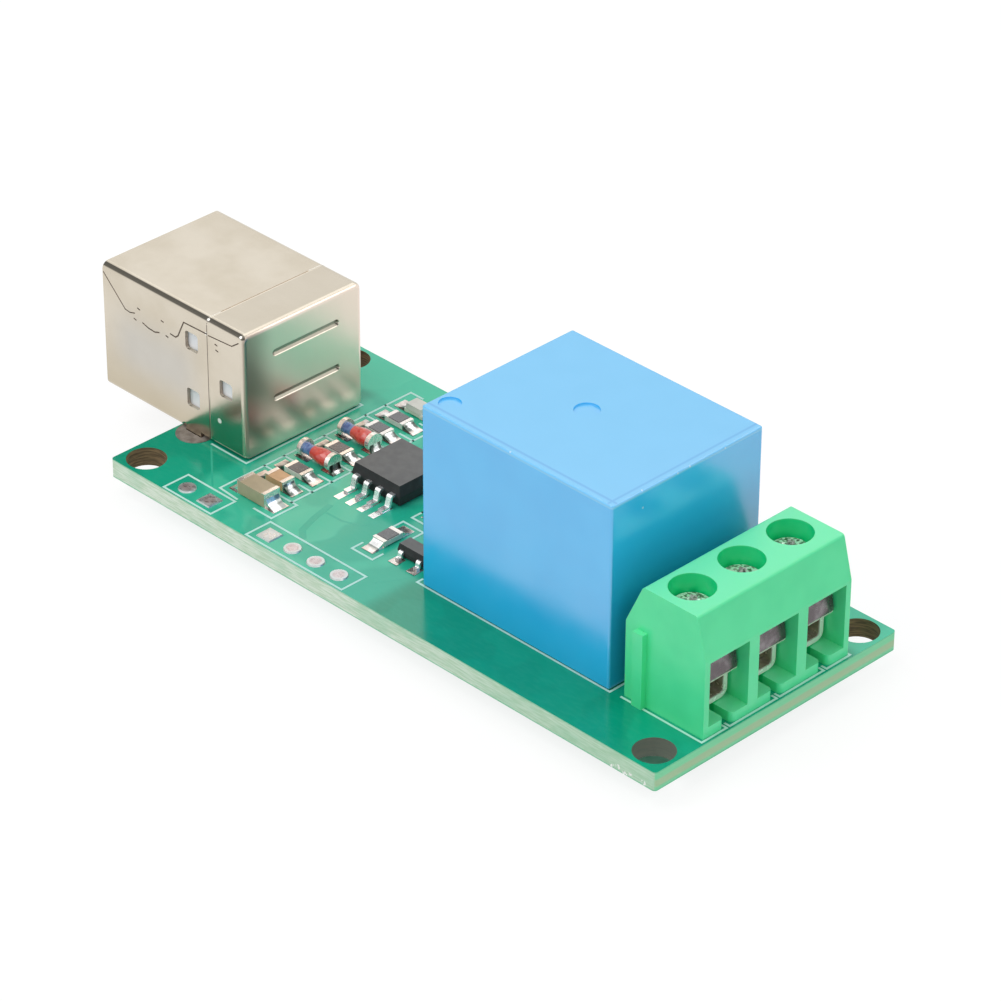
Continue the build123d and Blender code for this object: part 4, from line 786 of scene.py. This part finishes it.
def clear_from_below(tree, shader):
    """The shader from above and nothing from below, where the board's underside is looked at."""
    below = tree.nodes.new("ShaderNodeNewGeometry").outputs["Backfacing"]
    nothing = add_node(tree, "ShaderNodeBsdfTransparent")
    return add_node(tree, "ShaderNodeMixShader", below, shader, nothing)


def stage():
    """Floor that shows nearly white with a soft shadow, and gives back light like white card."""
    bpy.ops.mesh.primitive_plane_add(size=6, location=(0, 0, cad_box[0].z))
    floor = bpy.context.object
    floor.name = "floor"
    material = bpy.data.materials.new("floor")
    tree = emptied(material)
    card = add_node(tree, "ShaderNodeBsdfDiffuse", Color=(0.85, 0.85, 0.85, 1))
    glow = add_node(tree, "ShaderNodeEmission", Strength=0.84)
    shadow = add_node(tree, "ShaderNodeBsdfDiffuse", Color=(0.2, 0.2, 0.2, 1))
    shown = add_node(tree, "ShaderNodeAddShader", glow, shadow)
    choose = add_node(tree, "ShaderNodeMixShader", shown_rays(tree), card, shown)
    add_node(tree, "ShaderNodeOutputMaterial", clear_from_below(tree, choose))
    floor.data.materials.append(material)


def shade_under_hole():
    """Plain patch of floor under the front corner's hole, which lies there in the board's shade.

    It keeps the bright floor from showing through the hole, and is out of sight elsewhere.
    """
    middle_x, middle_y, radius = 25.25, -8.95, 1.7
    mesh = bmesh.new()
    height = cad_box[0].z + 0.02 * MM
    mesh.faces.new([mesh.verts.new(((middle_x + math.cos(turn) * radius) * MM,
                                    (middle_y + math.sin(turn) * radius) * MM, height))
                    for turn in (math.radians(15 * step) for step in range(24))])
    data = bpy.data.meshes.new("floor_shade")
    mesh.to_mesh(data)
    mesh.free()
    patch = bpy.data.objects.new("floor_shade", data)
    bpy.context.scene.collection.objects.link(patch)
    paint = Paint("floor_shade", Specular_IOR_Level=0.1)
    paint.colour(paint.mottle(paint.noise(1.5, 2), rgb(208, 220, 212), rgb(228, 238, 232)))
    paint.roughness(paint.uneven(1.0, 2.0, 0.6, 0.8))
    paint.set(paint.tree.nodes["Material Output"].inputs[0],
              clear_from_below(paint.tree, paint.shader.outputs[0]))
    data.materials.append(paint.material)


def world():
    """White to the eye and in mirrors, and dimmer as a light."""
    sky = bpy.data.worlds.new("studio")
    bpy.context.scene.world = sky
    tree = emptied(sky)
    dim = add_node(tree, "ShaderNodeBackground", Color=WHITE, Strength=0.42)
    white = add_node(tree, "ShaderNodeBackground", Color=WHITE, Strength=1.0)
    add_node(tree, "ShaderNodeOutputWorld",
             add_node(tree, "ShaderNodeMixShader", shown_rays(tree), dim, white))


def towards(azimuth, elevation):
    """Direction from the part in degrees. Azimuth 0 is -Y and 90 is +X."""
    turn, rise = math.radians(azimuth), math.radians(elevation)
    level = math.cos(rise)
    return Vector((math.sin(turn) * level, -math.cos(turn) * level, math.sin(rise)))


def lamp(name, azimuth, elevation, distance, size, power):
    """Soft square lamp aimed at the part."""
    back = towards(azimuth, elevation)
    data = bpy.data.lights.new(name, "AREA")
    data.size = size
    data.energy = power
    made = bpy.data.objects.new(name, data)
    made.location = back * distance
    made.rotation_mode = "QUATERNION"
    made.rotation_quaternion = back.to_track_quat("Z", "Y")
    bpy.context.scene.collection.objects.link(made)


def dark_card():
    """Dark card up on the left, seen only where one shiny face mirrors another.

    It deepens the board there and leaves the socket's own reflections bright.
    """
    back = towards(azimuth=-58, elevation=38)
    distance = 0.7
    bpy.ops.mesh.primitive_plane_add(size=0.5, location=back * distance)
    card = bpy.context.object
    card.name = "dark_card"
    card.rotation_mode = "QUATERNION"
    card.rotation_quaternion = back.to_track_quat("Z", "Y")
    card.visible_camera = False
    card.visible_diffuse = False
    card.visible_shadow = False
    card.visible_transmission = False
    material = bpy.data.materials.new("dark_card")
    tree = emptied(material)
    mirrored = tree.nodes.new("ShaderNodeLightPath").outputs["Glossy Depth"]
    twice = add_node(tree, "ShaderNodeMath", mirrored, 1.5, operation="GREATER_THAN")
    clear = add_node(tree, "ShaderNodeBsdfTransparent")
    dark = add_node(tree, "ShaderNodeBsdfDiffuse", Color=(0.02, 0.02, 0.02, 1))
    add_node(tree, "ShaderNodeOutputMaterial",
             add_node(tree, "ShaderNodeMixShader", twice, clear, dark))
    card.data.materials.append(material)


def camera():
    """Camera fitted to the photograph's view of the board, relay and socket corners."""
    target = Vector((-3.71, 4.51, DECK)) * MM
    distance = 350.9 * MM
    roll = math.radians(0.277)
    back = towards(azimuth=45.19, elevation=32.40)
    right = (-back).cross(Vector((0, 0, 1))).normalized()
    up = back.cross(right)
    tilted = right * math.cos(roll) + up * math.sin(roll)
    up = up * math.cos(roll) - right * math.sin(roll)
    data = bpy.data.cameras.new("camera")
    data.lens = 166.12
    data.sensor_width = 36
    data.clip_start = 0.01
    data.clip_end = 20
    made = bpy.data.objects.new("camera", data)
    turned = Matrix((tilted, up, back)).transposed().to_4x4()
    made.matrix_world = Matrix.Translation(target + back * distance) @ turned
    bpy.context.scene.collection.objects.link(made)
    bpy.context.scene.camera = made


stage()
shade_under_hole()
world()
lamp("key", azimuth=-20, elevation=55, distance=0.8, size=0.7, power=3.0)
lamp("back", azimuth=-150, elevation=60, distance=0.8, size=0.7, power=1.0)
lamp("side", azimuth=85, elevation=35, distance=0.8, size=0.6, power=0.8)
lamp("rim", azimuth=138, elevation=37, distance=0.8, size=0.3, power=0.5)
dark_card()
camera()
bpy.context.scene.view_settings.view_transform = "Standard"
